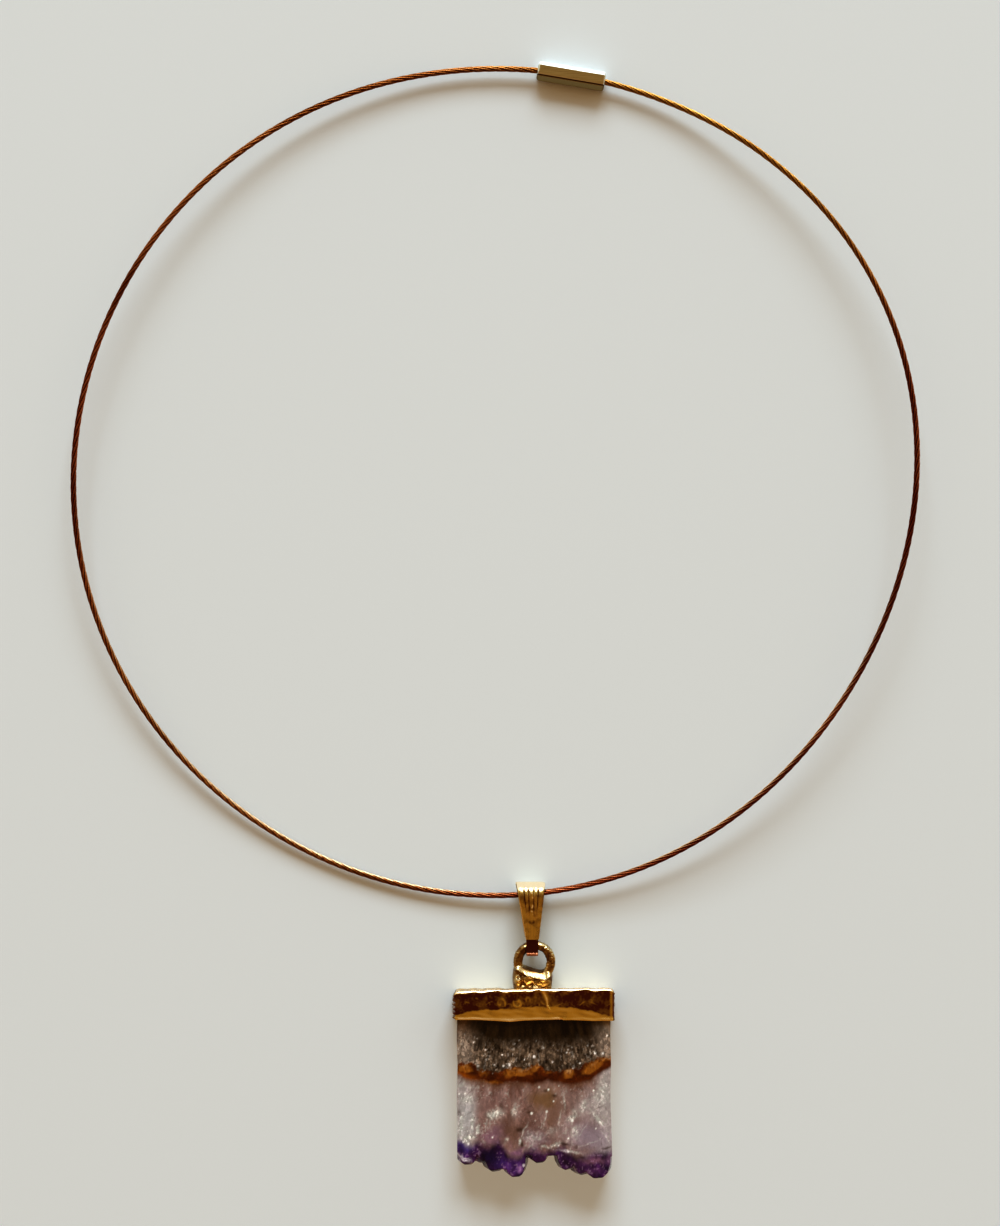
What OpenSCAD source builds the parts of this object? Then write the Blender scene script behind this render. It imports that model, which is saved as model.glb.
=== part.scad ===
// Crystal slice pendant lying flat with its neck wire. The origin is the middle of the slice's
// flat back, +Z up from the surface, +Y from the pendant towards the clasp. Millimetres.

/* [Crystal slice] */
// Width of the slice
slice_w = 26.4; // [20:0.2:32]
// Thickness of the slice
slice_t = 5.6; // [4.6:0.1:7]
// Lower edge of the cap above the origin, where the bare stone starts
cap_low = 11.6; // [10.8:0.1:12.4]
// Length of the stone that the cap hides
seat_l = 3.7; // [2.6:0.1:4.2]
// Distance of the lowest crystal point below the origin
point_l = 15.4; // [14:0.1:17]

/* [Cap] */
// Thickness of the cap's wall at the sides and the front
cap_wall = 0.5; // [0.35:0.05:0.7]
// Height of the cap along the stone
cap_h = 4.8; // [4.6:0.1:5.6]
// Thickness of the rolled ridge along the cap's top
ridge_d = 1.1; // [0.8:0.1:1.4]
// Clearance between the stone and the cap, and of the wire in the clasp
seat_gap = 0.08; // [0.05:0.01:0.15]

/* [Eye] */
// Thickness of the eye's wire
eye_d = 1.3; // [1:0.05:1.5]
// Radius of the eye at the middle of its wire
eye_r = 3; // [2.6:0.05:3.3]

/* [Bail] */
// Width of the bail at its top
bail_w = 4.7; // [3.6:0.1:5.4]
// Width of the bail's hook
hook_w = 2.1; // [1.6:0.1:2.4]
// Outer thickness of the bail around the neck wire
bail_d = 4.6; // [4.2:0.1:5.2]
// Thickness of the bail's strip
strip_t = 0.45; // [0.35:0.05:0.55]
// Number of flutes on the bail's front leaf
flutes = 5; // [3:1:7]

/* [Neck wire] */
// Thickness of the stranded wire
wire_d = 1; // [0.8:0.05:1.1]
// Mean radius of the loop
loop_r = 71.8; // [66:0.2:78]

/* [Clasp] */
// Length of the clasp
clasp_l = 11.8; // [9:0.2:14]
// Width of the clasp across its flats
clasp_w = 3; // [2.6:0.1:3.6]
// Depth of the wire's seat in each end of the clasp
clasp_seat = 3; // [2:0.1:4]

/* [Hidden] */

WIRE_SIDES = 8;
STEP = 4;                       // degrees of the loop from ring to ring
CLASP_AT = 79.2;                // bearing of the clasp, seen from the loop's middle
MID_HEIGHT = slice_t / 2 + 0.15;
CAP_TOP = cap_low + cap_h;
CAP_FRONT = slice_t + cap_wall;
CAP_W = slice_w + 2 * cap_wall + 0.2;
EYE_Y = CAP_TOP + 4.55;
EYE_X = 0.15;
LOOP_X = -6.8;
LOOP_Y = EYE_Y + 83.3;

// Bends of the springy loop: [waves in a turn, radius cosine, radius sine, height cosine, height sine]
BENDS = [
    [1, 0, 0, 1.1, 0.25],
    [2, 0.32, 0.7, 2.1, -0.7],
    [3, -0.06, 0.42, 0, 0.2],
    [4, 0, 0.27, 0, 0]
];
MEAN_HEIGHT = 3.55;
WAVES = 0;
R_COS = 1;
R_SIN = 2;
H_COS = 3;
H_SIN = 4;

// Left and right edges of the slab: [y, distance inside the full width]
LEFT_EDGE = [[cap_low + seat_l, 0.1], [8, 0], [3.5, 0.12], [-1.5, 0], [-6, 0.1], [-11.4, 0.05]];
RIGHT_EDGE = [[-11.8, -0.2], [-7, -0.1], [-2, 0.1], [4, 0], [9, 0.1], [cap_low + seat_l, 0.05]];

// Crystal points along the lower end:
// [x, tip's height above the lowest, radius, lean in degrees, turn, height in the slab, stretch through it]
POINTS = [
    [-11.1, 2.2, 2.3, 3, 5, 0.5, 2],
    [-8.3, 2.3, 1.6, 14, 24, 0.7, 1.2],
    [-6.4, 1, 2.4, 7, 4, 0.45, 1.9],
    [-3.3, 0.3, 2.1, -3, 10, 0.55, 2.1],
    [1, 2.8, 1.9, 2, 8, 0.5, 2.2],
    [3, 3.1, 1.5, 8, 30, 0.3, 1.4],
    [6, 1.4, 1.8, 10, 6, 0.55, 2.2],
    [8.8, 0.5, 2.1, 6, 14, 0.42, 1.8],
    [11.4, 0, 2.1, 1, 5, 0.55, 2.1]
];
P_X = 0;
P_TIP = 1;
P_R = 2;
P_LEAN = 3;
P_TURN = 4;
P_HIGH = 5;
P_DEEP = 6;
BLUNT = 0.5;                    // radius of a point's worn tip, as a share of the point's own

// Curls cast on the cap's front: [x, height above the cap's lower edge, radius, first angle, sweep]
CURLS = [
    [-12.2, 2.9, 0.7, 200, 250],
    [-10.2, 3.1, 0.8, 20, 260],
    [-7.9, 2.7, 0.7, 160, 240],
    [-5.7, 3, 0.85, 330, 270],
    [-3.2, 2.8, 0.75, 120, 260],
    [-0.8, 3.1, 0.8, 30, 230],
    [1.8, 2.8, 0.7, 200, 270],
    [4.3, 3.1, 0.8, 340, 250],
    [6.9, 2.7, 0.75, 100, 260],
    [9.4, 3, 0.8, 210, 250],
    [11.8, 2.9, 0.65, 40, 260]
];
C_X = 0;
C_Y = 1;
C_R = 2;
C_FROM = 3;
C_SWEEP = 4;
CURL_D = 0.5;

function total(list, i = 0) = i < len(list) ? list[i] + total(list, i + 1) : 0;
function smooth(t) = let(u = max(0, min(1, t))) u * u * (3 - 2 * u);

function waves(a, c, s) = total([for (b = BENDS) b[c] * cos(b[WAVES] * a) + b[s] * sin(b[WAVES] * a)]);
function radius_at(a) = loop_r + waves(a, R_COS, R_SIN);

// The loop springs up from the surface, and comes down to the clasp's axis beside the clasp
function free_height(a) = MEAN_HEIGHT + waves(a, H_COS, H_SIN);
function near_clasp(a) = 1 - smooth((abs((a - CLASP_AT + 540) % 360 - 180) - 5) / 22);
function height_at(a) = free_height(a) + (clasp_w / 2 - free_height(a)) * near_clasp(a);
function on_loop(a) = [LOOP_X + radius_at(a) * cos(a), LOOP_Y + radius_at(a) * sin(a), height_at(a)];

HALF_CLASP = asin(clasp_l / 2 / loop_r);
MOUTH_A = on_loop(CLASP_AT - HALF_CLASP);
MOUTH_B = on_loop(CLASP_AT + HALF_CLASP);
CLASP_MID = (MOUTH_A + MOUTH_B) / 2;
CLASP_AXIS = (MOUTH_B - MOUTH_A) / norm(MOUTH_B - MOUTH_A);
SEATED = clasp_seat - 3 * seat_gap;

// Middle line of the wire: seated end, round the whole loop, seated end
WIRE_LINE = [
    MOUTH_B - SEATED * CLASP_AXIS,
    MOUTH_B - 0.3 * CLASP_AXIS,
    for (a = [CLASP_AT + HALF_CLASP + STEP / 2 : STEP : CLASP_AT - HALF_CLASP + 360 - STEP / 4]) on_loop(a),
    MOUTH_A + 0.3 * CLASP_AXIS,
    MOUTH_A + SEATED * CLASP_AXIS
];

function unit(v) = v / norm(v);
function along(line, i) = unit(line[min(i + 1, len(line) - 1)] - line[max(i - 1, 0)]);

// Round tube along a line of points
module tube(line, d, sides) {
    rings = [
        for (i = [0 : len(line) - 1])
            let(t = along(line, i), side = unit(cross(t, [0, 0, 1])), up = cross(side, t))
                for (k = [0 : sides - 1])
                    line[i] + d / 2 * (side * cos(360 * k / sides) + up * sin(360 * k / sides))
    ];
    walls = [
        for (i = [0 : len(line) - 2], k = [0 : sides - 1])
            let(n = (k + 1) % sides)
                [i * sides + k, i * sides + n, (i + 1) * sides + n, (i + 1) * sides + k]
    ];
    first = [for (k = [sides - 1 : -1 : 0]) k];
    last = [for (k = [0 : sides - 1]) (len(line) - 1) * sides + k];
    polyhedron(rings, concat([first], walls, [last]));
}

module neck_wire() {
    color("peru") tube(WIRE_LINE, wire_d, WIRE_SIDES);
}

// Six-sided barrel with chamfered ends, lying on one flat, with a seat for the wire in each end
module clasp() {
    corner_r = clasp_w / 2 / cos(30);
    chamfer = 0.3;
    low_r = corner_r - chamfer;
    color("darkkhaki")
        translate(CLASP_MID)
            rotate([0, 0, atan2(CLASP_AXIS.y, CLASP_AXIS.x)])
                rotate([0, 90, 0])
                    rotate([0, 0, 30])
                        difference() {
                            union() {
                                cylinder(r = corner_r, h = clasp_l - 2 * chamfer, $fn = 6, center = true);
                                for (end = [0, 1])
                                    mirror([0, 0, end])
                                        translate([0, 0, clasp_l / 2 - chamfer])
                                            cylinder(r1 = corner_r, r2 = low_r, h = chamfer, $fn = 6);
                            }
                            for (end = [0, 1])
                                mirror([0, 0, end])
                                    translate([0, 0, clasp_l / 2 - clasp_seat])
                                        cylinder(r = wire_d / 2 + seat_gap, h = clasp_seat + 1, $fn = 48);
                        }
}

BAIL_X = -0.5;
HOOK_X = -0.25;
BAIL_TOP = [EYE_Y + 11.35, bail_d / 2 + 0.1];
HOOK_MID = [EYE_Y + eye_r - 0.5, MID_HEIGHT];
HOOK_R = eye_d / 2 + 0.25 + strip_t;
LEAF_LOW = EYE_Y + eye_r + 1.15;
LEAF_T = 0.25;
RIB_T = 0.14;

// Outline of a strip loop seen from the side, [y, z]: round the neck wire, down to the hook and back
function loop_outline(grow) =
    let(
        run = HOOK_MID - BAIL_TOP,
        tilt = atan2(run.y, run.x),
        spread = asin((bail_d / 2 - HOOK_R) / norm(run))
    )
        concat(
            [for (k = [0 : 16]) let(a = tilt + 90 - spread + k * (180 + 2 * spread) / 16)
                BAIL_TOP + (bail_d / 2 + grow) * [cos(a), sin(a)]],
            [for (k = [0 : 10]) let(a = tilt - 90 + spread + k * (180 - 2 * spread) / 10)
                HOOK_MID + (HOOK_R + grow) * [cos(a), sin(a)]]
        );

// Strip loop between two offsets of its outline, as wide as the bail
module strip(outer, inner) {
    rotate([90, 0, 90])
        linear_extrude(height = 2 * bail_w, center = true)
            difference() {
                polygon(loop_outline(outer));
                polygon(loop_outline(inner));
            }
}

// Upright prism over a tapered band, from the bail's top down to a low end
module taper(low, w_top, w_low, x_top, x_low, z_low) {
    top = BAIL_TOP.x + bail_d;
    translate([0, 0, z_low])
        linear_extrude(height = 2 * bail_d)
            polygon([
                [x_top - w_top / 2, top], [x_low - w_low / 2, low],
                [x_low + w_low / 2, low], [x_top + w_top / 2, top]
            ]);
}

module bail() {
    color("goldenrod") {
        intersection() {
            strip(0, -strip_t);
            union() {
                taper(LEAF_LOW - 0.3, bail_w + 0.6, hook_w, BAIL_X, HOOK_X, -1);
                translate([HOOK_X - hook_w / 2, HOOK_MID.x - 2 * HOOK_R, -1])
                    cube([hook_w, 5 * HOOK_R, 2 * bail_d]);
            }
        }
        intersection() {
            strip(LEAF_T, -strip_t / 2);
            taper(LEAF_LOW, bail_w + 0.6, hook_w + 0.1, BAIL_X, HOOK_X, BAIL_TOP.y);
        }
        intersection() {
            strip(LEAF_T + RIB_T, 0);
            for (k = [0 : flutes - 1]) {
                share = (k - (flutes - 1) / 2) / flutes;
                x_top = BAIL_X + share * bail_w;
                taper(LEAF_LOW + 0.2, 0.42, 0.16, x_top, HOOK_X + share * hook_w, BAIL_TOP.y + 0.4);
            }
        }
    }
}

// Slab outline with the cut edges of the natural slice
module slab_plan(grow = 0) {
    offset_w = slice_w / 2 + grow;
    polygon(concat(
        [for (e = LEFT_EDGE) [e[1] - offset_w, e[0] + (e[0] > cap_low ? grow : 0)]],
        [for (e = RIGHT_EDGE) [offset_w - e[1], e[0] + (e[0] > cap_low ? grow : 0)]]
    ));
}

// One amethyst point: six-sided prism with a blunt six-sided pyramid, its tip down the slice
module crystal_point(p) {
    tip_l = 0.85 * p[P_R];
    translate([p[P_X], p[P_TIP] - point_l, p[P_HIGH] * slice_t])
        rotate([0, 0, p[P_LEAN]])
            scale([1, 1, p[P_DEEP]])
                rotate([-90, 0, 0])
                    rotate([0, 0, p[P_TURN]]) {
                        cylinder(r1 = BLUNT * p[P_R], r2 = p[P_R], h = tip_l, $fn = 6);
                        translate([0, 0, tip_l])
                            cylinder(r = p[P_R], h = 5, $fn = 6);
                    }
}

module crystal_slice() {
    color("mediumpurple")
        union() {
            linear_extrude(height = slice_t) slab_plan();
            intersection() {
                union() {
                    for (p = POINTS) crystal_point(p);
                }
                translate([-slice_w / 2 - 0.3, -point_l - 1, 0])
                    cube([slice_w + 0.6, point_l + 4, slice_t]);
            }
        }
}

// Wavy line of the rolled ridge along the cap's top
RIDGE_LINE = [
    for (i = [0 : 36])
        let(x = (i / 36 - 0.5) * (CAP_W - ridge_d), sway = 0.16 * sin(95 * x) + 0.1 * sin(47 * x + 60))
            [x, CAP_TOP - 0.35 + sway, CAP_FRONT - 0.35 + 0.1 * sin(140 * x)]
];

// Ridge of solder over the eye's foot, seen from the front
SOLDER_LINE = [
    [-3.1, EYE_Y - 1.3, MID_HEIGHT + 0.1],
    [-2, EYE_Y - 1.75, MID_HEIGHT + 0.5],
    [-0.6, EYE_Y - 1.7, MID_HEIGHT + 0.9],
    [0.8, EYE_Y - 2, MID_HEIGHT + 0.8],
    [2, EYE_Y - 2.4, MID_HEIGHT + 0.6],
    [3, EYE_Y - 3, MID_HEIGHT + 0.2]
];

module cap_body() {
    difference() {
        union() {
            linear_extrude(height = CAP_FRONT)
                polygon([
                    [-CAP_W / 2, cap_low + 0.1], [-CAP_W / 2, CAP_TOP - 0.8], [0.7 - CAP_W / 2, CAP_TOP],
                    [CAP_W / 2 - 0.7, CAP_TOP], [CAP_W / 2, CAP_TOP - 0.8], [CAP_W / 2, cap_low + 0.2],
                    [9, cap_low], [4.9, cap_low - 0.05], [4.5, cap_low + 0.25], [4, cap_low],
                    [-4, cap_low - 0.15], [-9, cap_low]
                ]);
            translate([0, 0, CAP_FRONT - 0.2])
                linear_extrude(height = 0.4)
                    polygon([
                        [-CAP_W / 2 + 0.2, cap_low + 0.3], [-7, cap_low + 1.5], [-1, cap_low + 1.9],
                        [6, cap_low + 1.7], [CAP_W / 2 - 0.2, cap_low + 0.9], [CAP_W / 2 - 0.2, cap_low + 0.3],
                        [5, cap_low + 0.25], [-4, cap_low + 0.1]
                    ]);
            for (c = CURLS)
                translate([c[C_X], cap_low + c[C_Y], CAP_FRONT])
                    rotate([0, 0, c[C_FROM]])
                        rotate_extrude(angle = c[C_SWEEP], $fn = 40)
                            translate([c[C_R] - CURL_D / 2, 0])
                                circle(d = CURL_D, $fn = 20);
        }
        translate([0, 0, -1])
            linear_extrude(height = slice_t + 1 + seat_gap)
                union() {
                    slab_plan(seat_gap);
                    translate([-slice_w / 2 - seat_gap, -1]) square([slice_w + 2 * seat_gap, cap_low]);
                }
    }
}

module eye() {
    translate([EYE_X, EYE_Y, MID_HEIGHT])
        rotate_extrude($fn = 64)
            translate([eye_r, 0]) circle(d = eye_d, $fn = 24);
}

module solder() {
    hull() {
        translate([-2.3, EYE_Y - 2.7, MID_HEIGHT]) scale([1.1, 1, 1]) sphere(r = 1.15, $fn = 16);
        translate([0, EYE_Y - 2.3, MID_HEIGHT]) sphere(r = 1.35, $fn = 16);
        translate([2.4, EYE_Y - 3.2, MID_HEIGHT]) sphere(r = 1.05, $fn = 16);
        translate([0, CAP_TOP - 0.3, MID_HEIGHT]) cube([6.6, 0.2, 2.4], center = true);
    }
    tube(SOLDER_LINE, 0.9, 10);
}

module cap() {
    color("darkgoldenrod") {
        cap_body();
        tube(RIDGE_LINE, ridge_d, 10);
        solder();
        eye();
    }
}

neck_wire();
clasp();
bail();
cap();
crystal_slice();
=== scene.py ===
import math

import bmesh
import bpy
import numpy as np
from mathutils import Euler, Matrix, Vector

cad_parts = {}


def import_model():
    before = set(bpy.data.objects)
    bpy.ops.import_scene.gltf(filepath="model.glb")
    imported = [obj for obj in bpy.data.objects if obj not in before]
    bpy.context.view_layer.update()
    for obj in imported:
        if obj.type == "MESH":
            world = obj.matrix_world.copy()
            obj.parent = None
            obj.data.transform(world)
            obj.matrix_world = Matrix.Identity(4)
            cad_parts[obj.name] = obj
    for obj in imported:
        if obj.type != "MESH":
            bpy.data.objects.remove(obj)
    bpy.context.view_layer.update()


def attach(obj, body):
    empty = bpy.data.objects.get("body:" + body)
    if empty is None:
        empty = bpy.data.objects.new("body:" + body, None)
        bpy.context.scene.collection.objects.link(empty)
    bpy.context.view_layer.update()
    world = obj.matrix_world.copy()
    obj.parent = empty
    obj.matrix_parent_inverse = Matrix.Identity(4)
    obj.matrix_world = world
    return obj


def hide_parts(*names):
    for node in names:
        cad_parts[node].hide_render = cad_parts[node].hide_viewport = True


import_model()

# The paper that the jewel lies on, and the daylight over it
# One wide window stands past the clasp, and the room overhead is dim and warm.
# The photograph was taken from straight above the middle of its own frame.
MM = 0.001
PHOTO_LONG_SIDE = 1226
PIXELS_PER_METRE = 5760
FOCAL_PIXELS = 2200
LOOK_AT = (-5.8 * MM, 81.2 * MM)
WINDOW_BEARING = 88
WINDOW_ELEVATION = 28
WINDOW_AWAY = 5.0
WINDOW_SIZE = (3.2, 2.0)
WINDOW_POWER = 173
WINDOW_COLOUR = (0.785, 0.905, 1.0)
WINDOW_WALL = (0.85, 0.88, 0.84)
ROOM_WALL = (0.36, 0.202, 0.102)
CEILING = (0.265, 0.165, 0.07)
PAPER_HALF = 1.5
PAPER_COLOUR = (0.77, 0.845, 0.885, 1)


def put(name, data):
    """A new object at the origin, linked to the scene."""
    thing = bpy.data.objects.new(name, data)
    bpy.context.scene.collection.objects.link(thing)
    return thing


camera_data = bpy.data.cameras.new("camera")
camera_data.sensor_width = 36
camera_data.lens = FOCAL_PIXELS * camera_data.sensor_width / PHOTO_LONG_SIDE
camera = put("camera", camera_data)
camera.location = (*LOOK_AT, FOCAL_PIXELS / PIXELS_PER_METRE)
bpy.context.scene.camera = camera
bpy.context.scene.view_settings.view_transform = "Standard"
bpy.context.scene.view_settings.look = "High Contrast"

window_data = bpy.data.lights.new("window", "AREA")
window_data.shape = "RECTANGLE"
window_data.size, window_data.size_y = WINDOW_SIZE
window_data.energy = WINDOW_POWER
window_data.color = WINDOW_COLOUR
turn, lift = math.radians(WINDOW_BEARING), math.radians(WINDOW_ELEVATION)
window_way = Vector((math.cos(turn) * math.cos(lift), math.sin(turn) * math.cos(lift), math.sin(lift)))
window = put("window", window_data)
window.location = Vector((*LOOK_AT, 0)) + window_way * WINDOW_AWAY
window.rotation_euler = window_way.to_track_quat("Z", "Y").to_euler()


def feed(node, values):
    """Gives a node's inputs their values, or links them to the results of other nodes."""
    for key, value in values.items():
        if isinstance(value, bpy.types.NodeSocket):
            node.id_data.links.new(value, node.inputs[key])
        else:
            node.inputs[key].default_value = value


def place(tree, kind, values=None, **settings):
    """A new node with the given settings and inputs."""
    node = tree.nodes.new(kind)
    for key, value in settings.items():
        setattr(node, key, value)
    feed(node, values or {})
    return node


def soft_step(tree, value, low, high):
    """0 below the low value, 1 above the high one, and smooth between them."""
    values = {"Value": value, "From Min": low, "From Max": high}
    return place(tree, "ShaderNodeMapRange", values, interpolation_type="SMOOTHSTEP").outputs[0]


def blend_colour(tree, factor, first, second):
    """A mix of two colours, which may be sockets or red, green and blue."""
    first, second = ((*colour, 1) if isinstance(colour, tuple) else colour for colour in (first, second))
    mix = place(tree, "ShaderNodeMix", {"Factor": factor, "A": first, "B": second}, data_type="RGBA")
    return mix.outputs["Result"]


def parts_of(tree, vector):
    """A vector's X, Y and Z."""
    return place(tree, "ShaderNodeSeparateXYZ", {0: vector}).outputs


world = bpy.data.worlds.new("room")
world.use_nodes = True
room = world.node_tree
sky_way = parts_of(room, place(room, "ShaderNodeTexCoord").outputs["Generated"])
walls = blend_colour(room, soft_step(room, sky_way["Y"], -0.05, 0.6), ROOM_WALL, WINDOW_WALL)
room_light = blend_colour(room, soft_step(room, sky_way["Z"], 0.5, 0.86), walls, CEILING)
feed(room.nodes["Background"], {"Color": room_light})
bpy.context.scene.world = world


def end_mesh(work, mesh):
    """Ends a mesh that was being built, with its faces pointing outwards."""
    bmesh.ops.recalc_face_normals(work, faces=work.faces)
    work.to_mesh(mesh)
    work.free()
    return mesh


def add_mesh(name, points, faces, smooth=True):
    """A mesh object at the origin, linked to the scene, with its faces pointing outwards."""
    mesh = bpy.data.meshes.new(name)
    mesh.from_pydata([tuple(p) for p in points], [], faces)
    work = bmesh.new()
    work.from_mesh(mesh)
    end_mesh(work, mesh)
    mesh.polygons.foreach_set("use_smooth", [smooth] * len(mesh.polygons))
    return put(name, mesh)


def add_finish(name):
    """A new material, with its node tree and its Principled shader."""
    finish = bpy.data.materials.new(name)
    finish.use_nodes = True
    tree = finish.node_tree
    return finish, tree, tree.nodes["Principled BSDF"]


paper_corners = [(x * PAPER_HALF, y * PAPER_HALF, 0) for x, y in ((-1, -1), (1, -1), (1, 1), (-1, 1))]
paper = add_mesh("paper", paper_corners, [(0, 1, 2, 3)])
paper_finish, paper_tree, paper_shader = add_finish("paper")
feed(paper_shader, {"Base Color": PAPER_COLOUR, "Roughness": 0.75, "Specular IOR Level": 0.15})
paper.data.materials.append(paper_finish)

# The neck wire
# A springy cable, six copper-coloured strands laid right-handed round a core, bent to one whole loop.
# It stands a few millimetres off the paper on the right and the left, and its ends sit in the clasp.
LOOP_R = 71.8
LOOP_MID = (-6.8, 104.25)
MEAN_HEIGHT = 3.55
# waves in a turn, radius cosine, radius sine, height cosine, height sine
BENDS = [(1, 0, 0, 1.1, 0.25), (2, 0.32, 0.7, 2.1, -0.7), (3, -0.06, 0.42, 0, 0.2), (4, 0, 0.27, 0, 0)]
WIRE_D = 1.0
STRANDS = 6
STRAND_SIDES = 8
LAY_LENGTH = 11.5
RING_SPACING = 0.42
LIT_SIDE = (0.45, 0.75, 0.1)
BEARING_STEP = 2
CLASP_AT = 79.2
CLASP_L = 11.8
CLASP_W = 3.0
WIRE_SEATED = 2.76
STRAIGHT_SEATED = 0.3
# how far from the clasp, in degrees, the wire begins to rise and over how many it goes on
RISE_FROM = 5
RISE_OVER = 22
# copper from stained to bare: red, golden, and in painted shade on the side away from the window; then a
# painted highlight towards the window, a painted edge highlight and painted shade for the grooves
RED_COPPER = (0.2, 0.045, 0.014), (0.5, 0.17, 0.07)
GOLDEN_COPPER = (0.42, 0.19, 0.035), (0.76, 0.42, 0.11)
AWAY_SHADE_COPPER = (0.17, 0.032, 0.01), (0.38, 0.19, 0.045)
LIT_COPPER = (0.84, 0.58, 0.33)
EDGE_HIGHLIGHT_COPPER = (1.0, 0.7, 0.38)
GROOVE_SHADE_COPPER = (0.05, 0.008, 0.003)


def smooth_step(t):
    """0 below 0, 1 above 1, and smooth between them."""
    t = np.clip(t, 0, 1)
    return t * t * (3 - 2 * t)


def loop_point(bearing):
    """The middle of the wire at a bearing in degrees, in millimetres."""
    turn = math.radians(bearing)
    radius, height = LOOP_R, MEAN_HEIGHT
    for waves, r_cos, r_sin, h_cos, h_sin in BENDS:
        radius += r_cos * math.cos(waves * turn) + r_sin * math.sin(waves * turn)
        height += h_cos * math.cos(waves * turn) + h_sin * math.sin(waves * turn)
    away = abs((bearing - CLASP_AT + 540) % 360 - 180)
    near_clasp = 1 - float(smooth_step((away - RISE_FROM) / RISE_OVER))
    height += (CLASP_W / 2 - height) * near_clasp
    return Vector((LOOP_MID[0] + radius * math.cos(turn), LOOP_MID[1] + radius * math.sin(turn), height))


half_clasp = math.degrees(math.asin(CLASP_L / 2 / LOOP_R))
mouth_a = loop_point(CLASP_AT - half_clasp)
mouth_b = loop_point(CLASP_AT + half_clasp)
clasp_axis = (mouth_b - mouth_a).normalized()
bearings = np.arange(
    CLASP_AT + half_clasp + BEARING_STEP / 2, CLASP_AT - half_clasp + 360 - BEARING_STEP / 4, BEARING_STEP
)
wire_line = [mouth_b - WIRE_SEATED * clasp_axis, mouth_b - STRAIGHT_SEATED * clasp_axis]
wire_line += [loop_point(b) for b in bearings]
wire_line += [mouth_a + STRAIGHT_SEATED * clasp_axis, mouth_a + WIRE_SEATED * clasp_axis]

route = bpy.data.curves.new("neck_wire_route", "CURVE")
route.dimensions = "3D"
spline = route.splines.new("POLY")
spline.points.add(len(wire_line) - 1)
for point, at in zip(spline.points, wire_line):
    point.co = (*(at * MM), 1)


def node_math(tree, operation, *values):
    """A maths node on sockets or numbers, and its result."""
    return place(tree, "ShaderNodeMath", dict(enumerate(values)), operation=operation).outputs[0]


def times(tree, first, second):
    """The product of two sockets or numbers."""
    return node_math(tree, "MULTIPLY", first, second)


def vector_math(tree, operation, *values):
    """A vector maths node on sockets or vectors, and its result. SCALE takes a vector and a number."""
    inputs = dict(enumerate(values))
    if operation == "SCALE":
        inputs["Scale"] = inputs.pop(1)
    node = place(tree, "ShaderNodeVectorMath", inputs, operation=operation)
    return node.outputs["Value" if operation in ("DOT_PRODUCT", "LENGTH") else "Vector"]


def add_sockets(tree, side, rows):
    """Adds inputs or outputs to a node group, from rows of name, kind and, for most, value."""
    for name, kind, *value in rows:
        socket = tree.interface.new_socket(name, in_out=side, socket_type="NodeSocket" + kind)
        if value:
            socket.default_value = value[0]


def store_mark(tree, shape, name, value):
    """Stores a number for each point of a shape in a geometry tree."""
    inputs = {"Geometry": shape, "Name": name, "Value": value}
    node = place(tree, "GeometryNodeStoreNamedAttribute", inputs, data_type="FLOAT", domain="POINT")
    return node.outputs[0]


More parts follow.
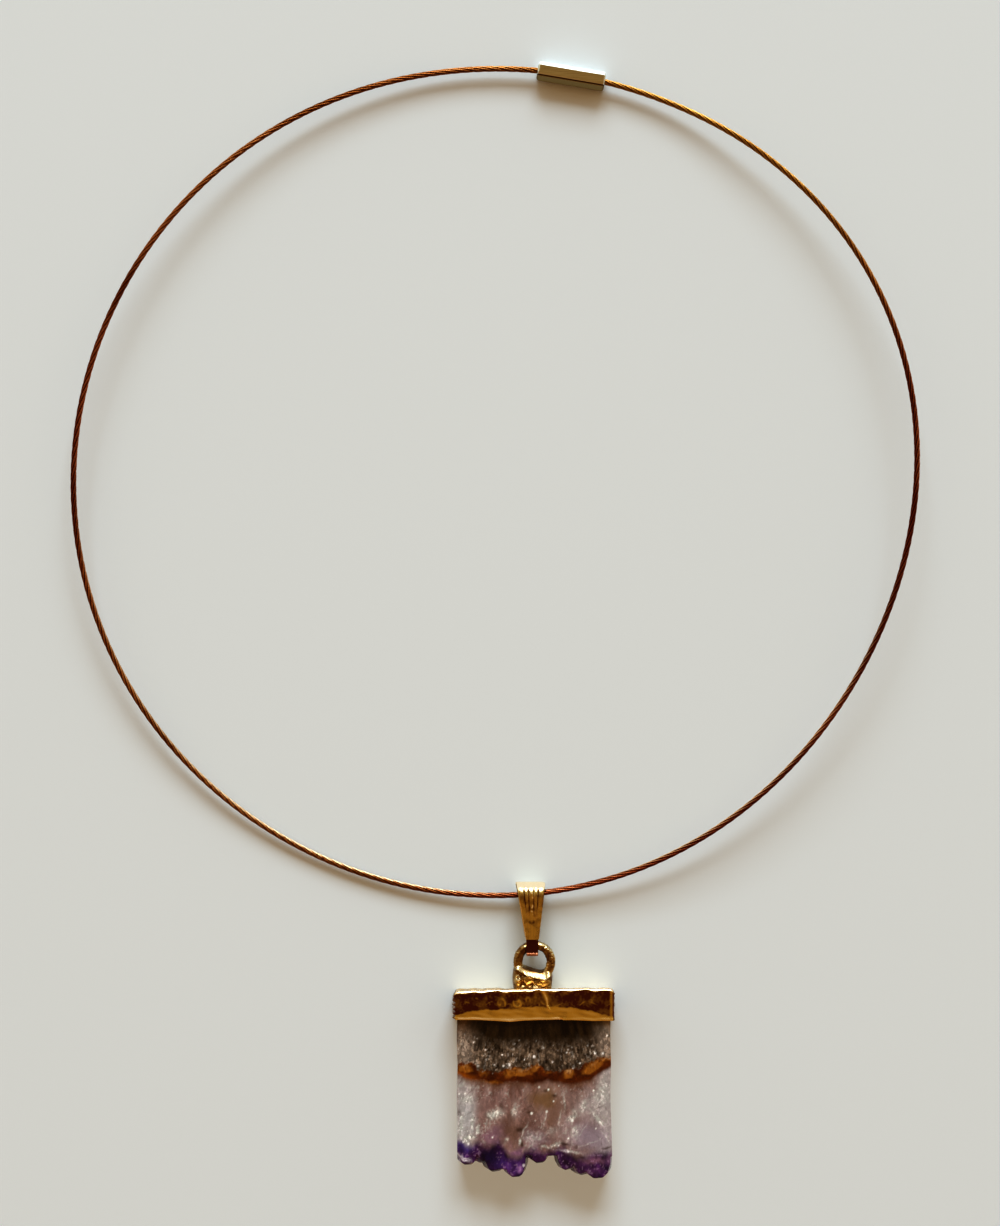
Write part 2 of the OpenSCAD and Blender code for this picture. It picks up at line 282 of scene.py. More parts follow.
def build_cable_tree():
    """Strands laid in a helix round a core, along a route."""
    tree = bpy.data.node_groups.new("laid_cable", "GeometryNodeTree")
    add_sockets(tree, "INPUT", [
        ("Route", "Geometry"), ("Strands", "Int", 6), ("Lay Length", "Float", 0.01),
        ("Cable Radius", "Float", 0.0005), ("Ring Spacing", "Float", 0.0004), ("Strand Sides", "Int", 8),
        ("Lit Side", "Vector", (0.45, 0.75, 0.1)), ("Finish", "Material"),
    ])
    add_sockets(tree, "OUTPUT", [("Cable", "Geometry")])
    given = place(tree, "NodeGroupInput").outputs
    result = place(tree, "NodeGroupOutput")

    even_inputs = {"Curve": given["Route"], "Length": given["Ring Spacing"]}
    even = place(tree, "GeometryNodeResampleCurve", even_inputs, mode="LENGTH")
    upright = place(tree, "GeometryNodeSetCurveNormal", {"Curve": even.outputs[0]}, mode="Z_UP")
    normal = place(tree, "GeometryNodeInputNormal").outputs["Normal"]
    tangent = place(tree, "GeometryNodeInputTangent").outputs["Tangent"]
    node = place(tree, "GeometryNodeCaptureAttribute", domain="POINT")
    for kind, name in (("FLOAT", "Run"), ("VECTOR", "Side"), ("VECTOR", "Up"), ("VECTOR", "Axis")):
        node.capture_items.new(kind, name)
    feed(node, {
        "Geometry": upright.outputs[0],
        "Run": place(tree, "GeometryNodeSplineParameter").outputs["Length"],
        "Side": normal,
        "Up": vector_math(tree, "CROSS_PRODUCT", tangent, normal),
        "Axis": place(tree, "GeometryNodeInputPosition").outputs[0],
    })
    kept = node.outputs

    copies_inputs = {"Geometry": kept["Geometry"], "Amount": given["Strands"]}
    copies = place(tree, "GeometryNodeDuplicateElements", copies_inputs, domain="SPLINE").outputs
    share = node_math(tree, "DIVIDE", copies["Duplicate Index"], given["Strands"])
    turns = node_math(tree, "DIVIDE", kept["Run"], given["Lay Length"])
    angle = times(tree, node_math(tree, "ADD", share, turns), 2 * math.pi)
    strand_r = node_math(tree, "DIVIDE", given["Cable Radius"], 3.0)
    sideways = vector_math(tree, "SCALE", kept["Side"], node_math(tree, "COSINE", angle))
    upwards = vector_math(tree, "SCALE", kept["Up"], node_math(tree, "SINE", angle))
    aim = vector_math(tree, "ADD", sideways, upwards)
    offset = vector_math(tree, "SCALE", aim, times(tree, strand_r, 2.0))
    laid = place(tree, "GeometryNodeSetPosition", {"Geometry": copies["Geometry"], "Offset": offset})
    lean = vector_math(tree, "DOT_PRODUCT", aim, given["Lit Side"])
    strands = store_mark(tree, laid.outputs[0], "lean", lean)
    both = place(tree, "GeometryNodeJoinGeometry")
    for lines in (strands, kept["Geometry"]):
        tree.links.new(lines, both.inputs[0])

    section_inputs = {"Resolution": given["Strand Sides"], "Radius": strand_r}
    section = place(tree, "GeometryNodeCurvePrimitiveCircle", section_inputs, mode="RADIUS")
    swept = place(tree, "GeometryNodeCurveToMesh", {
        "Curve": both.outputs[0], "Profile Curve": section.outputs["Curve"], "Fill Caps": True,
    })
    here = place(tree, "GeometryNodeInputPosition").outputs[0]
    reach = vector_math(tree, "LENGTH", vector_math(tree, "SUBTRACT", here, kept["Axis"]))
    outward = node_math(tree, "DIVIDE", reach, given["Cable Radius"])
    marked = store_mark(tree, swept.outputs[0], "outward", outward)
    real = place(tree, "GeometryNodeRealizeInstances", {0: marked})
    finished_inputs = {"Geometry": real.outputs[0], "Material": given["Finish"]}
    feed(result, {"Cable": place(tree, "GeometryNodeSetMaterial", finished_inputs).outputs[0]})
    return tree


def plain_mesh(piece):
    """Turns a piece's live modifiers into its own mesh."""
    graph = bpy.context.evaluated_depsgraph_get()
    mesh = bpy.data.meshes.new_from_object(piece.evaluated_get(graph), depsgraph=graph)
    piece.modifiers.clear()
    return mesh


def grow(source, name, tree, inputs):
    """Runs a geometry tree on an object, and returns the result as a plain mesh piece at the origin."""
    modifier = source.modifiers.new(name, "NODES")
    modifier.node_group = tree
    for item in tree.interface.items_tree:
        if item.in_out == "INPUT" and item.name in inputs:
            modifier[item.identifier] = inputs[item.name]
    mesh = plain_mesh(source)
    bpy.data.objects.remove(source)
    mesh.name = name
    return put(name, mesh)


def noise(tree, at, size, detail, roughness=0.5):
    """Soft noise from 0 to 1."""
    inputs = {"Vector": at, "Scale": size, "Detail": detail, "Roughness": roughness}
    return place(tree, "ShaderNodeTexNoise", inputs).outputs["Fac"]


def read_mark(tree, name):
    """The number that a piece's mesh stores under a name."""
    return place(tree, "ShaderNodeAttribute", attribute_name=name).outputs["Fac"]


def spread(tree, value, low, high, top=1.0):
    """A value from 0 to the top one, spread from low to high."""
    inputs = {"Value": value, "From Max": top, "To Min": low, "To Max": high}
    return place(tree, "ShaderNodeMapRange", inputs).outputs[0]


def copper_finish():
    """Copper, redder below, golden at the upper right, with painted highlights towards the window and
    painted shade away from it and in its grooves.
    """
    finish, tree, shader = add_finish("copper_strand")
    spot = place(tree, "ShaderNodeTexCoord").outputs
    mottle = noise(tree, spot["Object"], 1300.0, 3.0)
    stain = node_math(tree, "ADD", noise(tree, spot["Object"], 42.0, 2.0), times(tree, mottle, 0.12))
    bare_and_highlight = soft_step(tree, stain, 0.44, 0.68)
    at = parts_of(tree, spot["Object"])
    upper = soft_step(tree, at["Y"], 0.115, 0.165)
    lower = node_math(tree, "SUBTRACT", 1.0, soft_step(tree, at["Y"], 0.07, 0.105))
    right = soft_step(tree, at["X"], -0.035, 0.0)
    lower_left = times(tree, lower, node_math(tree, "SUBTRACT", 1.0, right))
    far_right = node_math(tree, "MULTIPLY_ADD", soft_step(tree, at["X"], -0.02, 0.03), 0.7, 0.3)
    golden = node_math(tree, "MULTIPLY_ADD", lower_left, 0.35, times(tree, upper, far_right))
    colour = blend_colour(
        tree, golden, blend_colour(tree, bare_and_highlight, *RED_COPPER), blend_colour(tree, bare_and_highlight, *GOLDEN_COPPER)
    )
    lean = read_mark(tree, "lean")
    # painted shade: strands turned away from the window take the darker copper, and at the lower left the
    # turn is shifted towards the lit side
    towards = soft_step(tree, node_math(tree, "MULTIPLY_ADD", lower_left, 0.3, lean), -0.3, 0.35)
    colour = blend_colour(tree, towards, blend_colour(tree, golden, *AWAY_SHADE_COPPER), colour)
    # painted highlight: in the lower part of the loop, strands turned towards the window turn pale, less so
    # towards the left
    sunny = soft_step(tree, node_math(tree, "MULTIPLY_ADD", right, -0.25, lean), 0.38, 0.7)
    lit = times(tree, sunny, node_math(tree, "SUBTRACT", 1.0, upper))
    fading = node_math(tree, "MULTIPLY_ADD", soft_step(tree, at["X"], -0.074, -0.05), 0.65, 0.35)
    lit = times(tree, lit, fading)
    colour = blend_colour(tree, lit, colour, LIT_COPPER)
    # painted highlight: on the lower right, a pale line along the wire's upper left edge
    facing = vector_math(tree, "DOT_PRODUCT", spot["Normal"], (-0.58, 0.79, 0.2))
    lower_right = times(tree, lower, soft_step(tree, at["X"], 0.008, 0.022))
    edge = times(tree, lower_right, soft_step(tree, facing, 0.78, 0.96))
    colour = blend_colour(tree, edge, colour, EDGE_HIGHLIGHT_COPPER)
    # painted shade: the surface close to the cable's axis, between the strands, is darkened
    proud = soft_step(tree, read_mark(tree, "outward"), 0.74, 0.95)
    colour = blend_colour(tree, proud, GROOVE_SHADE_COPPER, colour)
    # the painted highlights are also made less metallic
    metal = node_math(tree, "MULTIPLY_ADD", edge, -0.5, node_math(tree, "MULTIPLY_ADD", lit, -0.35, 1.0))
    feed(shader, {"Base Color": colour, "Metallic": metal, "Roughness": spread(tree, mottle, 0.16, 0.38)})
    return finish


neck_wire = grow(put("neck_wire_route", route), "neck_wire_cable", build_cable_tree(), {
    "Strands": STRANDS, "Strand Sides": STRAND_SIDES, "Lay Length": LAY_LENGTH * MM,
    "Cable Radius": WIRE_D / 2 * MM, "Ring Spacing": RING_SPACING * MM, "Lit Side": LIT_SIDE,
    "Finish": copper_finish(),
})
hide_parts("neck_wire")
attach(neck_wire, "root")

# The clasp
# A six-sided barrel of satin steel, drilled at both ends for the cable, its long edges worn round.
# It is fastened, and lies on one of its flats.
CLASP_CHAMFER = 0.28
CLASP_WORN = 0.34
SIDE_CUTS = 4
BORE_R = 0.58
BORE_DEEP = 3.0
BORE_POINT_R = 0.02
EDGE_ROUND = 0.14
# steel between its brushed lines and on them, with their shares
STEEL_TONES = [(0.3, (0.6, 0.58, 0.42, 1)), (0.75, (0.84, 0.83, 0.68, 1))]
# painted shade along the lower edge and on the flank below it, and a painted highlight where the steel faces
# the window
SHADY_EDGE = (0.06, 0.035, 0.015)
SHADY_FLANK = (0.25, 0.18, 0.08)
LIT_STEEL = (0.95, 0.95, 0.92)
UP = Vector((0, 0, 1))


def way_at(degrees):
    """A step of one in a direction in the plane."""
    return Vector((math.cos(math.radians(degrees)), math.sin(math.radians(degrees))))


def circle(radius):
    """Points round a circle, in step with the hexagon's."""
    return [radius * way_at(360 * k / (6 * SIDE_CUTS)) for k in range(6 * SIDE_CUTS)]


def worn_hexagon(flat_to_flat):
    """Points round a hexagon with its flats up and down, its corner towards the window worn to a flat."""
    corners = [flat_to_flat / 2 / math.cos(math.radians(30)) * way_at(60 * k) for k in range(6)]
    sides = zip(corners, corners[1:] + corners[:1])
    ring = [start.lerp(end, cut / SIDE_CUTS) for start, end in sides for cut in range(SIDE_CUTS)]
    corner = ring[SIDE_CUTS].copy()
    before, after = SIDE_CUTS - 1, SIDE_CUTS + 1
    ring[before] = corner + CLASP_WORN * (ring[0] - corner).normalized()
    ring[after] = corner + CLASP_WORN * (ring[2 * SIDE_CUTS] - corner).normalized()
    ring[SIDE_CUTS] = (ring[before] + ring[after]) / 2
    return ring


clasp_mid = (mouth_a + mouth_b) / 2
clasp_side = UP.cross(clasp_axis)
rounds = 6 * SIDE_CUTS
half_l = CLASP_L / 2
sections = [
    (-half_l + BORE_DEEP, circle(BORE_POINT_R)), (-half_l + BORE_DEEP, circle(BORE_R)),
    (-half_l, circle(BORE_R)), (-half_l, worn_hexagon(CLASP_W - 2 * CLASP_CHAMFER)),
    (-half_l + CLASP_CHAMFER, worn_hexagon(CLASP_W)), (0, worn_hexagon(CLASP_W)),
]
sections += [(-along, ring) for along, ring in reversed(sections[:-1])]
clasp_points = [
    (clasp_mid + along * clasp_axis + p.x * clasp_side + p.y * UP) * MM
    for along, ring in sections for p in ring
]


def ring_faces(rings, size, closed=False):
    """Faces between rings of points, each to the next, and the last to the first where they close."""
    return [
        (r * size + k, r * size + (k + 1) % size,
         (r + 1) % rings * size + (k + 1) % size, (r + 1) % rings * size + k)
        for r in range(rings if closed else rings - 1) for k in range(size)
    ]


clasp_faces = ring_faces(len(sections), rounds)
clasp_faces += [tuple(range(rounds)), tuple((len(sections) - 1) * rounds + k for k in range(rounds))]
clasp = add_mesh("clasp_barrel", clasp_points, clasp_faces, smooth=False)


def round_edges(piece, width, segments, angle):
    """Rounds a piece's edges that are sharper than an angle in degrees."""
    worn = piece.modifiers.new("worn_edges", "BEVEL")
    worn.width = width * MM
    worn.segments = segments
    worn.angle_limit = math.radians(angle)
    piece.data = plain_mesh(piece)


def steel_finish():
    """Brushed steel, with painted shade along its lower edge and on the flank below it, and a painted
    highlight, less metallic, where it faces the window.
    """
    finish, tree, shader = add_finish("satin_steel")
    spot = place(tree, "ShaderNodeTexCoord").outputs
    turned = place(tree, "ShaderNodeMapping", {
        "Vector": spot["Object"], "Scale": (300, 9000, 9000),
        "Rotation": (0, 0, -math.atan2(clasp_axis.y, clasp_axis.x)),
    })
    lines = noise(tree, turned.outputs[0], 1.0, 4.0)
    tone = place(tree, "ShaderNodeValToRGB", {"Fac": lines})
    for element, (position, colour) in zip(tone.color_ramp.elements, STEEL_TONES):
        element.position = position
        element.color = colour
    from_mid = vector_math(tree, "SUBTRACT", spot["Object"], tuple(clasp_mid * MM))
    across = vector_math(tree, "DOT_PRODUCT", from_mid, tuple(clasp_side))
    edge = soft_step(tree, across, 0.76 * MM, 0.84 * MM)
    flank = soft_step(tree, across, 0.93 * MM, 1.01 * MM)
    lit = soft_step(tree, parts_of(tree, spot["Normal"])["Y"], 0.35, 0.6)
    colour = blend_colour(tree, edge, tone.outputs["Color"], SHADY_EDGE)
    colour = blend_colour(tree, flank, colour, SHADY_FLANK)
    colour = blend_colour(tree, lit, colour, LIT_STEEL)
    bump = place(tree, "ShaderNodeBump", {"Strength": 0.15, "Distance": 0.02 * MM, "Height": lines})
    feed(shader, {
        "Base Color": colour, "Metallic": node_math(tree, "MULTIPLY_ADD", lit, -0.75, 1.0),
        "Roughness": spread(tree, lines, 0.1, 0.2), "Normal": bump.outputs[0],
    })
    return finish


round_edges(clasp, EDGE_ROUND, 3, 25)
clasp.data.materials.clear()
clasp.data.materials.append(steel_finish())
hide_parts("clasp")
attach(clasp, "root")

# The bail
# A tapered gold strip, folded over the neck wire, with flutes pressed in its front leaf.
# Its narrow lower end is hooked through the eye and closed behind; the hook is darkened with painted shade
# where it wraps over the eye wire, and its bend and tail carry a painted highlight of pinker gold.
EYE_Y = 20.95
EYE_R = 3.0
EYE_D = 1.3
MID_HEIGHT = 2.95
BAIL_TOP = np.array([EYE_Y + 11.35, 2.4])
BAIL_TOP_R = 2.3
HOOK_MID = np.array([EYE_Y + EYE_R - 0.5, MID_HEIGHT])
STRIP_T = 0.45
HOOK_GAP = 0.25
HOOK_R = EYE_D / 2 + HOOK_GAP + STRIP_T
LEAF_LOW = EYE_Y + EYE_R + 1.15
LEAF_T = 0.25
FLUTE_T = 0.2
CROWN_T = 0.08
BACK_SHIFT = 0.12
DIMPLE_AT = (-0.35, 28.3)
DIMPLE_R = 0.36
ROLL_LOW = 33.7
# how far down each flute runs, as a share of the leaf, from left to right
FLUTE_ENDS = [0.5, 0.66, 0.58, 0.7, 0.52]
BAIL_W = 4.95
HOOK_W = 2.2
HOOK_STRIP_W = 2.02
BAIL_X = -0.5
HOOK_X = -0.25
STRIP_COLUMNS = 100
# rows over the top, down the front leaf, round the hook and up the back
STRIP_ROWS = (44, 64, 24, 40)
HOOK_SHADE = (0.13, 0.042, 0.03)
HOOK_PINK_HIGHLIGHT = (0.9, 0.5, 0.42)


def build_gold_group():
    """Gold plate: orange on its flats, with a painted highlight where it faces the window, brown with
    tarnish and with marked painted shade, and paler and less metallic with marked painted highlights.
    """
    tree = bpy.data.node_groups.new("aged_gold", "ShaderNodeTree")
    add_sockets(tree, "INPUT", [
        ("Mottle Size", "Float", 1.2), ("Tarnish", "Float", 0.4), ("Grain", "Float", 0.3),
        ("Hollow", "Float", 0.0), ("Rubbed", "Color", (1, 0.83, 0.57, 1)),
        ("Flat", "Color", (0.72, 0.4, 0.1, 1)), ("Dull", "Color", (0.2, 0.05, 0.015, 1)),
    ])
    outcomes = [("Color", "Color"), ("Roughness", "Float"), ("Metallic", "Float"), ("Normal", "Vector")]
    add_sockets(tree, "OUTPUT", outcomes)
    given = place(tree, "NodeGroupInput").outputs
    result = place(tree, "NodeGroupOutput")
    spot = place(tree, "ShaderNodeTexCoord").outputs

    def clamped(value):
        return place(tree, "ShaderNodeClamp", {"Value": value}).outputs[0]

    mottle = noise(tree, spot["Object"], node_math(tree, "DIVIDE", 1 / MM, given["Mottle Size"]), 5.0, 0.6)
    grain = noise(tree, spot["Object"], 5200.0, 3.0)
    # painted highlight: paler where the surface faces the window, and where the mark is below zero, which
    # also makes it less metallic
    sloped = soft_step(tree, parts_of(tree, spot["Normal"])["Y"], 0.22, 0.55)
    rubbed = clamped(node_math(tree, "SUBTRACT", sloped, given["Hollow"]))
    bare_and_highlight = clamped(times(tree, given["Hollow"], -1.0))
    stained = times(tree, soft_step(tree, mottle, 0.4, 0.68), given["Tarnish"])
    dulled = clamped(node_math(tree, "ADD", stained, given["Hollow"]))
    colour = blend_colour(tree, rubbed, given["Flat"], given["Rubbed"])
    rough = spread(tree, times(tree, grain, mottle), 0.12, 0.34, 0.6)
    bump_inputs = {"Distance": 0.05 * MM, "Strength": given["Grain"], "Height": grain}
    feed(result, {
        "Color": blend_colour(tree, dulled, colour, given["Dull"]),
        "Roughness": node_math(tree, "MULTIPLY_ADD", dulled, 0.16, rough),
        "Metallic": node_math(tree, "MULTIPLY_ADD", bare_and_highlight, -0.36, 1.0),
        "Normal": place(tree, "ShaderNodeBump", bump_inputs).outputs[0],
    })
    return tree


gold_group = build_gold_group()


def gold_finish(name, mottle_size, tarnish_with_painted_light, grain, **tones):
    """A gold material on the shared group, with its own tones. The piece's mesh marks its tarnish, painted
    shade and painted highlights.
    """
    finish, tree, shader = add_finish(name)
    group = place(tree, "ShaderNodeGroup", {
        "Mottle Size": mottle_size, "Tarnish": tarnish_with_painted_light, "Grain": grain, "Hollow": read_mark(tree, "tarnish_and_painted_light"),
        **{tone.capitalize(): (*colour, 1) for tone, colour in tones.items()},
    }, node_tree=gold_group).outputs
    feed(shader, {"Base Color": group["Color"]})
    feed(shader, {key: group[key] for key in ("Metallic", "Roughness", "Normal")})
    return finish


def set_marks(piece, name, values):
    """Stores one number for each point of a piece's mesh."""
    marks = piece.data.attributes.new(name, "FLOAT", "POINT")
    marks.data.foreach_set("value", np.asarray(values, np.float32))


def past(value, start, run):
    """0 up to the start, 1 from a run beyond it, and smooth between them."""
    return smooth_step((value - start) / run)


def before(value, end, run):
    """1 up to a run before the end, 0 from the end on, and smooth between them."""
    return smooth_step((end - value) / run)


def hump(offset, width):
    """1 in the middle, falling softly to nothing on both sides."""
    return np.exp(-((offset / width) ** 2))


def strip_path():
    """The strip's outer line seen from the side: [y, z, outward y, outward z, share of the front leaf]."""
    run = HOOK_MID - BAIL_TOP
    tilt = math.atan2(run[1], run[0])
    spread_angle = math.asin((BAIL_TOP_R - HOOK_R) / np.linalg.norm(run))
    front_angle = tilt - math.pi / 2 + spread_angle
    rows = []

    def arc(mid, radius, start, sweep, count, leaf):
        for share in np.linspace(0, 1, count):
            way = np.array([math.cos(start + sweep * share), math.sin(start + sweep * share)])
            rows.append([*(mid + radius * way), *way, leaf(share)])

    def straight(end, count, leaf):
        last, way = np.array(rows[-1][:2]), rows[-1][2:4]
        for share in np.linspace(0, 1, count, endpoint=False)[1:]:
            spot = last + (end - last) * share
            rows.append([*spot, *way, leaf(spot[0])])

    top_rows, front_rows, hook_rows, back_rows = STRIP_ROWS
    sweep = math.pi + 2 * spread_angle
    start = front_angle - sweep
    arc(BAIL_TOP, BAIL_TOP_R, start, sweep, top_rows, lambda share: float(past(share, 0.3, 0.2)))
    front_way = np.array([math.cos(front_angle), math.sin(front_angle)])
    straight(HOOK_MID + HOOK_R * front_way, front_rows, lambda y: 1.0 if y > LEAF_LOW else 0.0)
    arc(HOOK_MID, HOOK_R, front_angle, math.pi - 2 * spread_angle, hook_rows, lambda share: 0.0)
    straight(np.array(rows[0][:2]), back_rows, lambda y: 0.0)
    return rows


def strip_ring(y, z, out_y, out_z, leaf, across):
    """Outer and inner points of the strip at a place of its path and a place across it, from -1 to 1."""
    strip_top = BAIL_TOP[0] + BAIL_TOP_R
    down = np.clip((strip_top - y) / (strip_top - LEAF_LOW), 0, 1)
    width = BAIL_W + (HOOK_W - BAIL_W) * down
    middle = BAIL_X + (HOOK_X - BAIL_X) * down
    if down >= 1 and leaf < 0.5:
        width = HOOK_STRIP_W
    if out_z < 0.15 and down < 1:
        middle -= BACK_SHIFT
    uneven = 0.16 * math.sin(math.pi * across) - 0.1 * math.sin(2 * math.pi * across)
    lane = (across + 1) / 2 * len(FLUTE_ENDS) + uneven
    round_top = math.sqrt(max(0.0, 1 - (2 * (lane % 1) - 1) ** 2))
    flute_end = FLUTE_ENDS[min(int(lane), len(FLUTE_ENDS) - 1)]
    fade = 1 - float(past(down, flute_end - 0.2, 0.2))
    start = float(past(out_z, 0.5, 0.3)) if y > BAIL_TOP[0] else 1.0
    crown = -CROWN_T * across ** 12
    x = middle + across * width / 2
    rise = LEAF_T * leaf + FLUTE_T * round_top * fade * start * leaf + crown
    outer = (x, y + out_y * rise, z + out_z * rise)
    inner = (x, y - out_y * (STRIP_T + crown), z - out_z * (STRIP_T + crown))

    # tarnished in streaks and round a dimple, painted shade in the flute grooves; paler in specks and at the
    # left edge; a painted highlight on top
    streak = 0.5 + 0.5 * math.sin(31 * x + 2.2 * math.sin(1.9 * y)) * math.sin(1.3 * y + 5 * x)
    tarnish_with_painted_light = (1.15 * (1 - round_top) + 0.6 * streak * (1 - down)) * max(fade, 0.25) * start * leaf
    from_dimple = math.hypot(x - DIMPLE_AT[0], y - DIMPLE_AT[1]) - DIMPLE_R
    tarnish_with_painted_light += 0.6 * float(hump(from_dimple, 0.2) * before(y, 28.55, 0.4)) * leaf
    speck_line = hump(x + 0.3 - 0.12 * math.sin(4.3 * y), 0.15)
    speck = speck_line * past(math.sin(6.1 * y + 2 * math.sin(2.3 * y)), 0, 0.6)
    tarnish_with_painted_light -= 1.2 * float(speck * past(y, 29.4, 0.3)) * leaf
    tarnish_with_painted_light -= 0.8 * float(past(-across, 0.9, 0.06)) * leaf
    # painted highlight: the top roll is marked pale and less metallic
    if out_z > -0.3 and y > BAIL_TOP[0]:
        tarnish_with_painted_light += float(past(y + 0.4 * round_top, ROLL_LOW, 0.15)) * (-0.7 - tarnish_with_painted_light)
    return outer, inner, tarnish_with_painted_light


path = strip_path()
leaf_end = next(i for i, row in enumerate(path) if row[0] <= LEAF_LOW and row[3] > 0.5)
step_y = path[leaf_end - 1][0] - 0.02
bail_rows = path[:leaf_end] + [[step_y, *path[leaf_end - 1][1:4], 0.0]] + path[leaf_end:]
evenly = np.linspace(-1, 1, STRIP_COLUMNS + 1)
columns = 0.85 * evenly - 0.15 * np.cos(math.pi * (evenly + 1) / 2)
bail_points, bail_tarnish_and_painted_light, bail_hook_painted_light = [], [], []
for index, row in enumerate(bail_rows):
    at_y = LEAF_LOW - 0.001 if index == leaf_end else row[0]
    ring = [strip_ring(at_y, *row[1:], across) for across in columns]
    if index == leaf_end:
        ring = [((o[0], row[0], o[2]), (i[0], row[0], i[2]), tarnish_with_painted_light) for o, i, tarnish_with_painted_light in ring]
    bail_points += [outer for outer, _, _ in ring] + [inner for _, inner, _ in reversed(ring)]
    # painted shade on the hook over the eye wire, a painted pink highlight on its bend and on the tail
    # behind; the strip's inner face is darker
    low = row[0] < HOOK_MID[0]
    on_hook = index >= leaf_end and row[3] > -0.2
    on_bend = on_hook and row[3] < 0.9 and low
    on_tail = row[3] < -0.2 and low
    for _, _, tarnish_with_painted_light in ring:
        bail_tarnish_and_painted_light.append(-0.8 if on_bend else max(0.92, tarnish_with_painted_light) if on_hook else tarnish_with_painted_light)
    bail_tarnish_and_painted_light += [-0.2 if on_tail else 0.5] * len(ring)
    bail_hook_painted_light += [1.0 if on_bend else 0.55 if on_hook else 0.0] * len(ring)
    bail_hook_painted_light += [1.0 if on_tail else 0.0] * len(ring)
bail_faces = ring_faces(len(bail_rows), 2 * len(columns), closed=True)
bail = add_mesh("bail_strip", [Vector(p) * MM for p in bail_points], bail_faces)
set_marks(bail, "tarnish_and_painted_light", bail_tarnish_and_painted_light)
set_marks(bail, "hook_painted_light", bail_hook_painted_light)
round_edges(bail, 0.06, 2, 50)
bail_gold = gold_finish("bail_gold", 1.1, 0.55, 0.25, flat=(0.86, 0.62, 0.2), dull=(0.2, 0.1, 0.03))
bail_tree = bail_gold.node_tree
bail_colour = bail_tree.nodes["Principled BSDF"].inputs["Base Color"]
plated = bail_colour.links[0].from_socket
hook_painted_light = read_mark(bail_tree, "hook_painted_light")
hook_lit_colour = blend_colour(bail_tree, soft_step(bail_tree, hook_painted_light, 0.1, 0.5), plated, HOOK_SHADE)
hook_lit_colour = blend_colour(bail_tree, soft_step(bail_tree, hook_painted_light, 0.6, 0.9), hook_lit_colour, HOOK_PINK_HIGHLIGHT)
bail_tree.links.new(hook_lit_colour, bail_colour)
bail.data.materials.append(bail_gold)
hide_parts("bail")
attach(bail, "root")

# The cap
# A thin gold casting that covers the top of the stone in front, above and at both sides, open behind.
# Its top edge is a rolled ridge; curls are cast in the dark upper field; a rubbed band runs along the lip.
SLICE_W = 26.4
SLICE_T = 5.6
CAP_LOW = 11.6
CAP_TOP = 16.4
CAP_W = SLICE_W + 1.1
CAP_FRONT = SLICE_T + 0.5
SEAT_TOP = 15.38
SEAT_GAP = 0.08
CORNER_R = 0.6
END_R = 0.5
ROLL = 0.2
RIDGE_T = 0.62
NOTCH_X = 4.7
CURL_D = 0.5
# x, height above the lip, radius, first angle, sweep, how high it stands
CURLS = [
    (-12.2, 2.9, 0.9, 200, 300, 0.5), (-10, 3, 1.1, 20, 330, 0.5), (-7.9, 2.8, 0.9, 160, 300, 0.5),
    (-5.7, 2.9, 1.15, 300, 345, 0.8), (-4.2, 2.5, 0.8, 190, 300, 0.7), (-2.7, 2.9, 1.15, 130, 345, 0.8),
    (-1.1, 3.3, 0.8, 300, 300, 0.6), (0.4, 2.8, 1, 200, 330, 0.5), (3.2, 3.1, 0.9, 60, 300, 0.4),
    (4.9, 3.1, 1, 340, 320, 0.5), (7.1, 2.9, 1, 100, 320, 0.5), (9.4, 3, 1, 210, 320, 0.4),
    (11.6, 2.9, 0.8, 40, 300, 0.35),
]
# the rubbed band's upper edge, and how far the lip and the top stray from their lines
BAND_X = [-13, -10, -6.3, -3.3, -1.4, 3, 6.2, 8.1, 10.6, 12.8]
BAND_TOP = [12.6, 13.3, 13.45, 13.55, 13.9, 13.9, 13.8, 13.5, 13, 12.3]
LIP_X = [-13.8, -9, -4, -1.5, 4.1, 4.9, 6.5, 10, 13.8]
LIP_SHIFT = [0.1, 0.05, -0.25, -0.02, 0.14, 0.02, 0.05, -0.1, -0.05]
TOP_X = [-13.8, -7, -1, 5, 13.8]
TOP_SHIFT = [0, 0.22, 0.35, 0.42, 0.48]
CAP_COLUMNS = 250
CAP_ROWS = 44
CAP_DEPTHS = 30
rng = np.random.default_rng(7)


def lumps(x, y, z, size, count=24):
    """Smooth uneven ground: waves in all directions, about 1 high in sum, with lumps of about one size."""
    total = np.zeros_like(x)
    for _ in range(count):
        way = rng.normal(size=3)
        way *= rng.uniform(0.6, 1.6) * 2 * math.pi / size / np.linalg.norm(way)
        total += np.sin(way[0] * x + way[1] * y + way[2] * z + rng.uniform(0, 2 * math.pi))
    return total / math.sqrt(count)


def curl_height(x, y):
    """Height of the cast curls: round-topped rolls along arcs."""
    height = np.zeros_like(x)
    for mid_x, up, radius, start, sweep, strength in CURLS:
        dx, dy = x - mid_x, y - (CAP_LOW + up)
        angle = (np.degrees(np.arctan2(dy, dx)) - start) % 360
        on_arc = smooth_step((sweep - angle) / 30 + 0.5) * past(angle, 0, 30)
        off_line = np.abs(np.hypot(dx, dy) - (radius * (1 - 0.6 * angle / 360) - CURL_D / 2))
        roll = np.sqrt(np.clip(1 - (off_line / (CURL_D / 2)) ** 2, 0, 1)) * CURL_D / 2
        height = np.maximum(height, roll * on_arc * strength)
    return height


def roll_line(x):
    """How far the rolled ridge wanders up and down along the cap's top."""
    slow = 0.12 * np.sin(np.radians(95 * x)) + 0.09 * np.sin(np.radians(47 * x + 60))
    return slow + 0.05 * np.sin(2.9 * x)


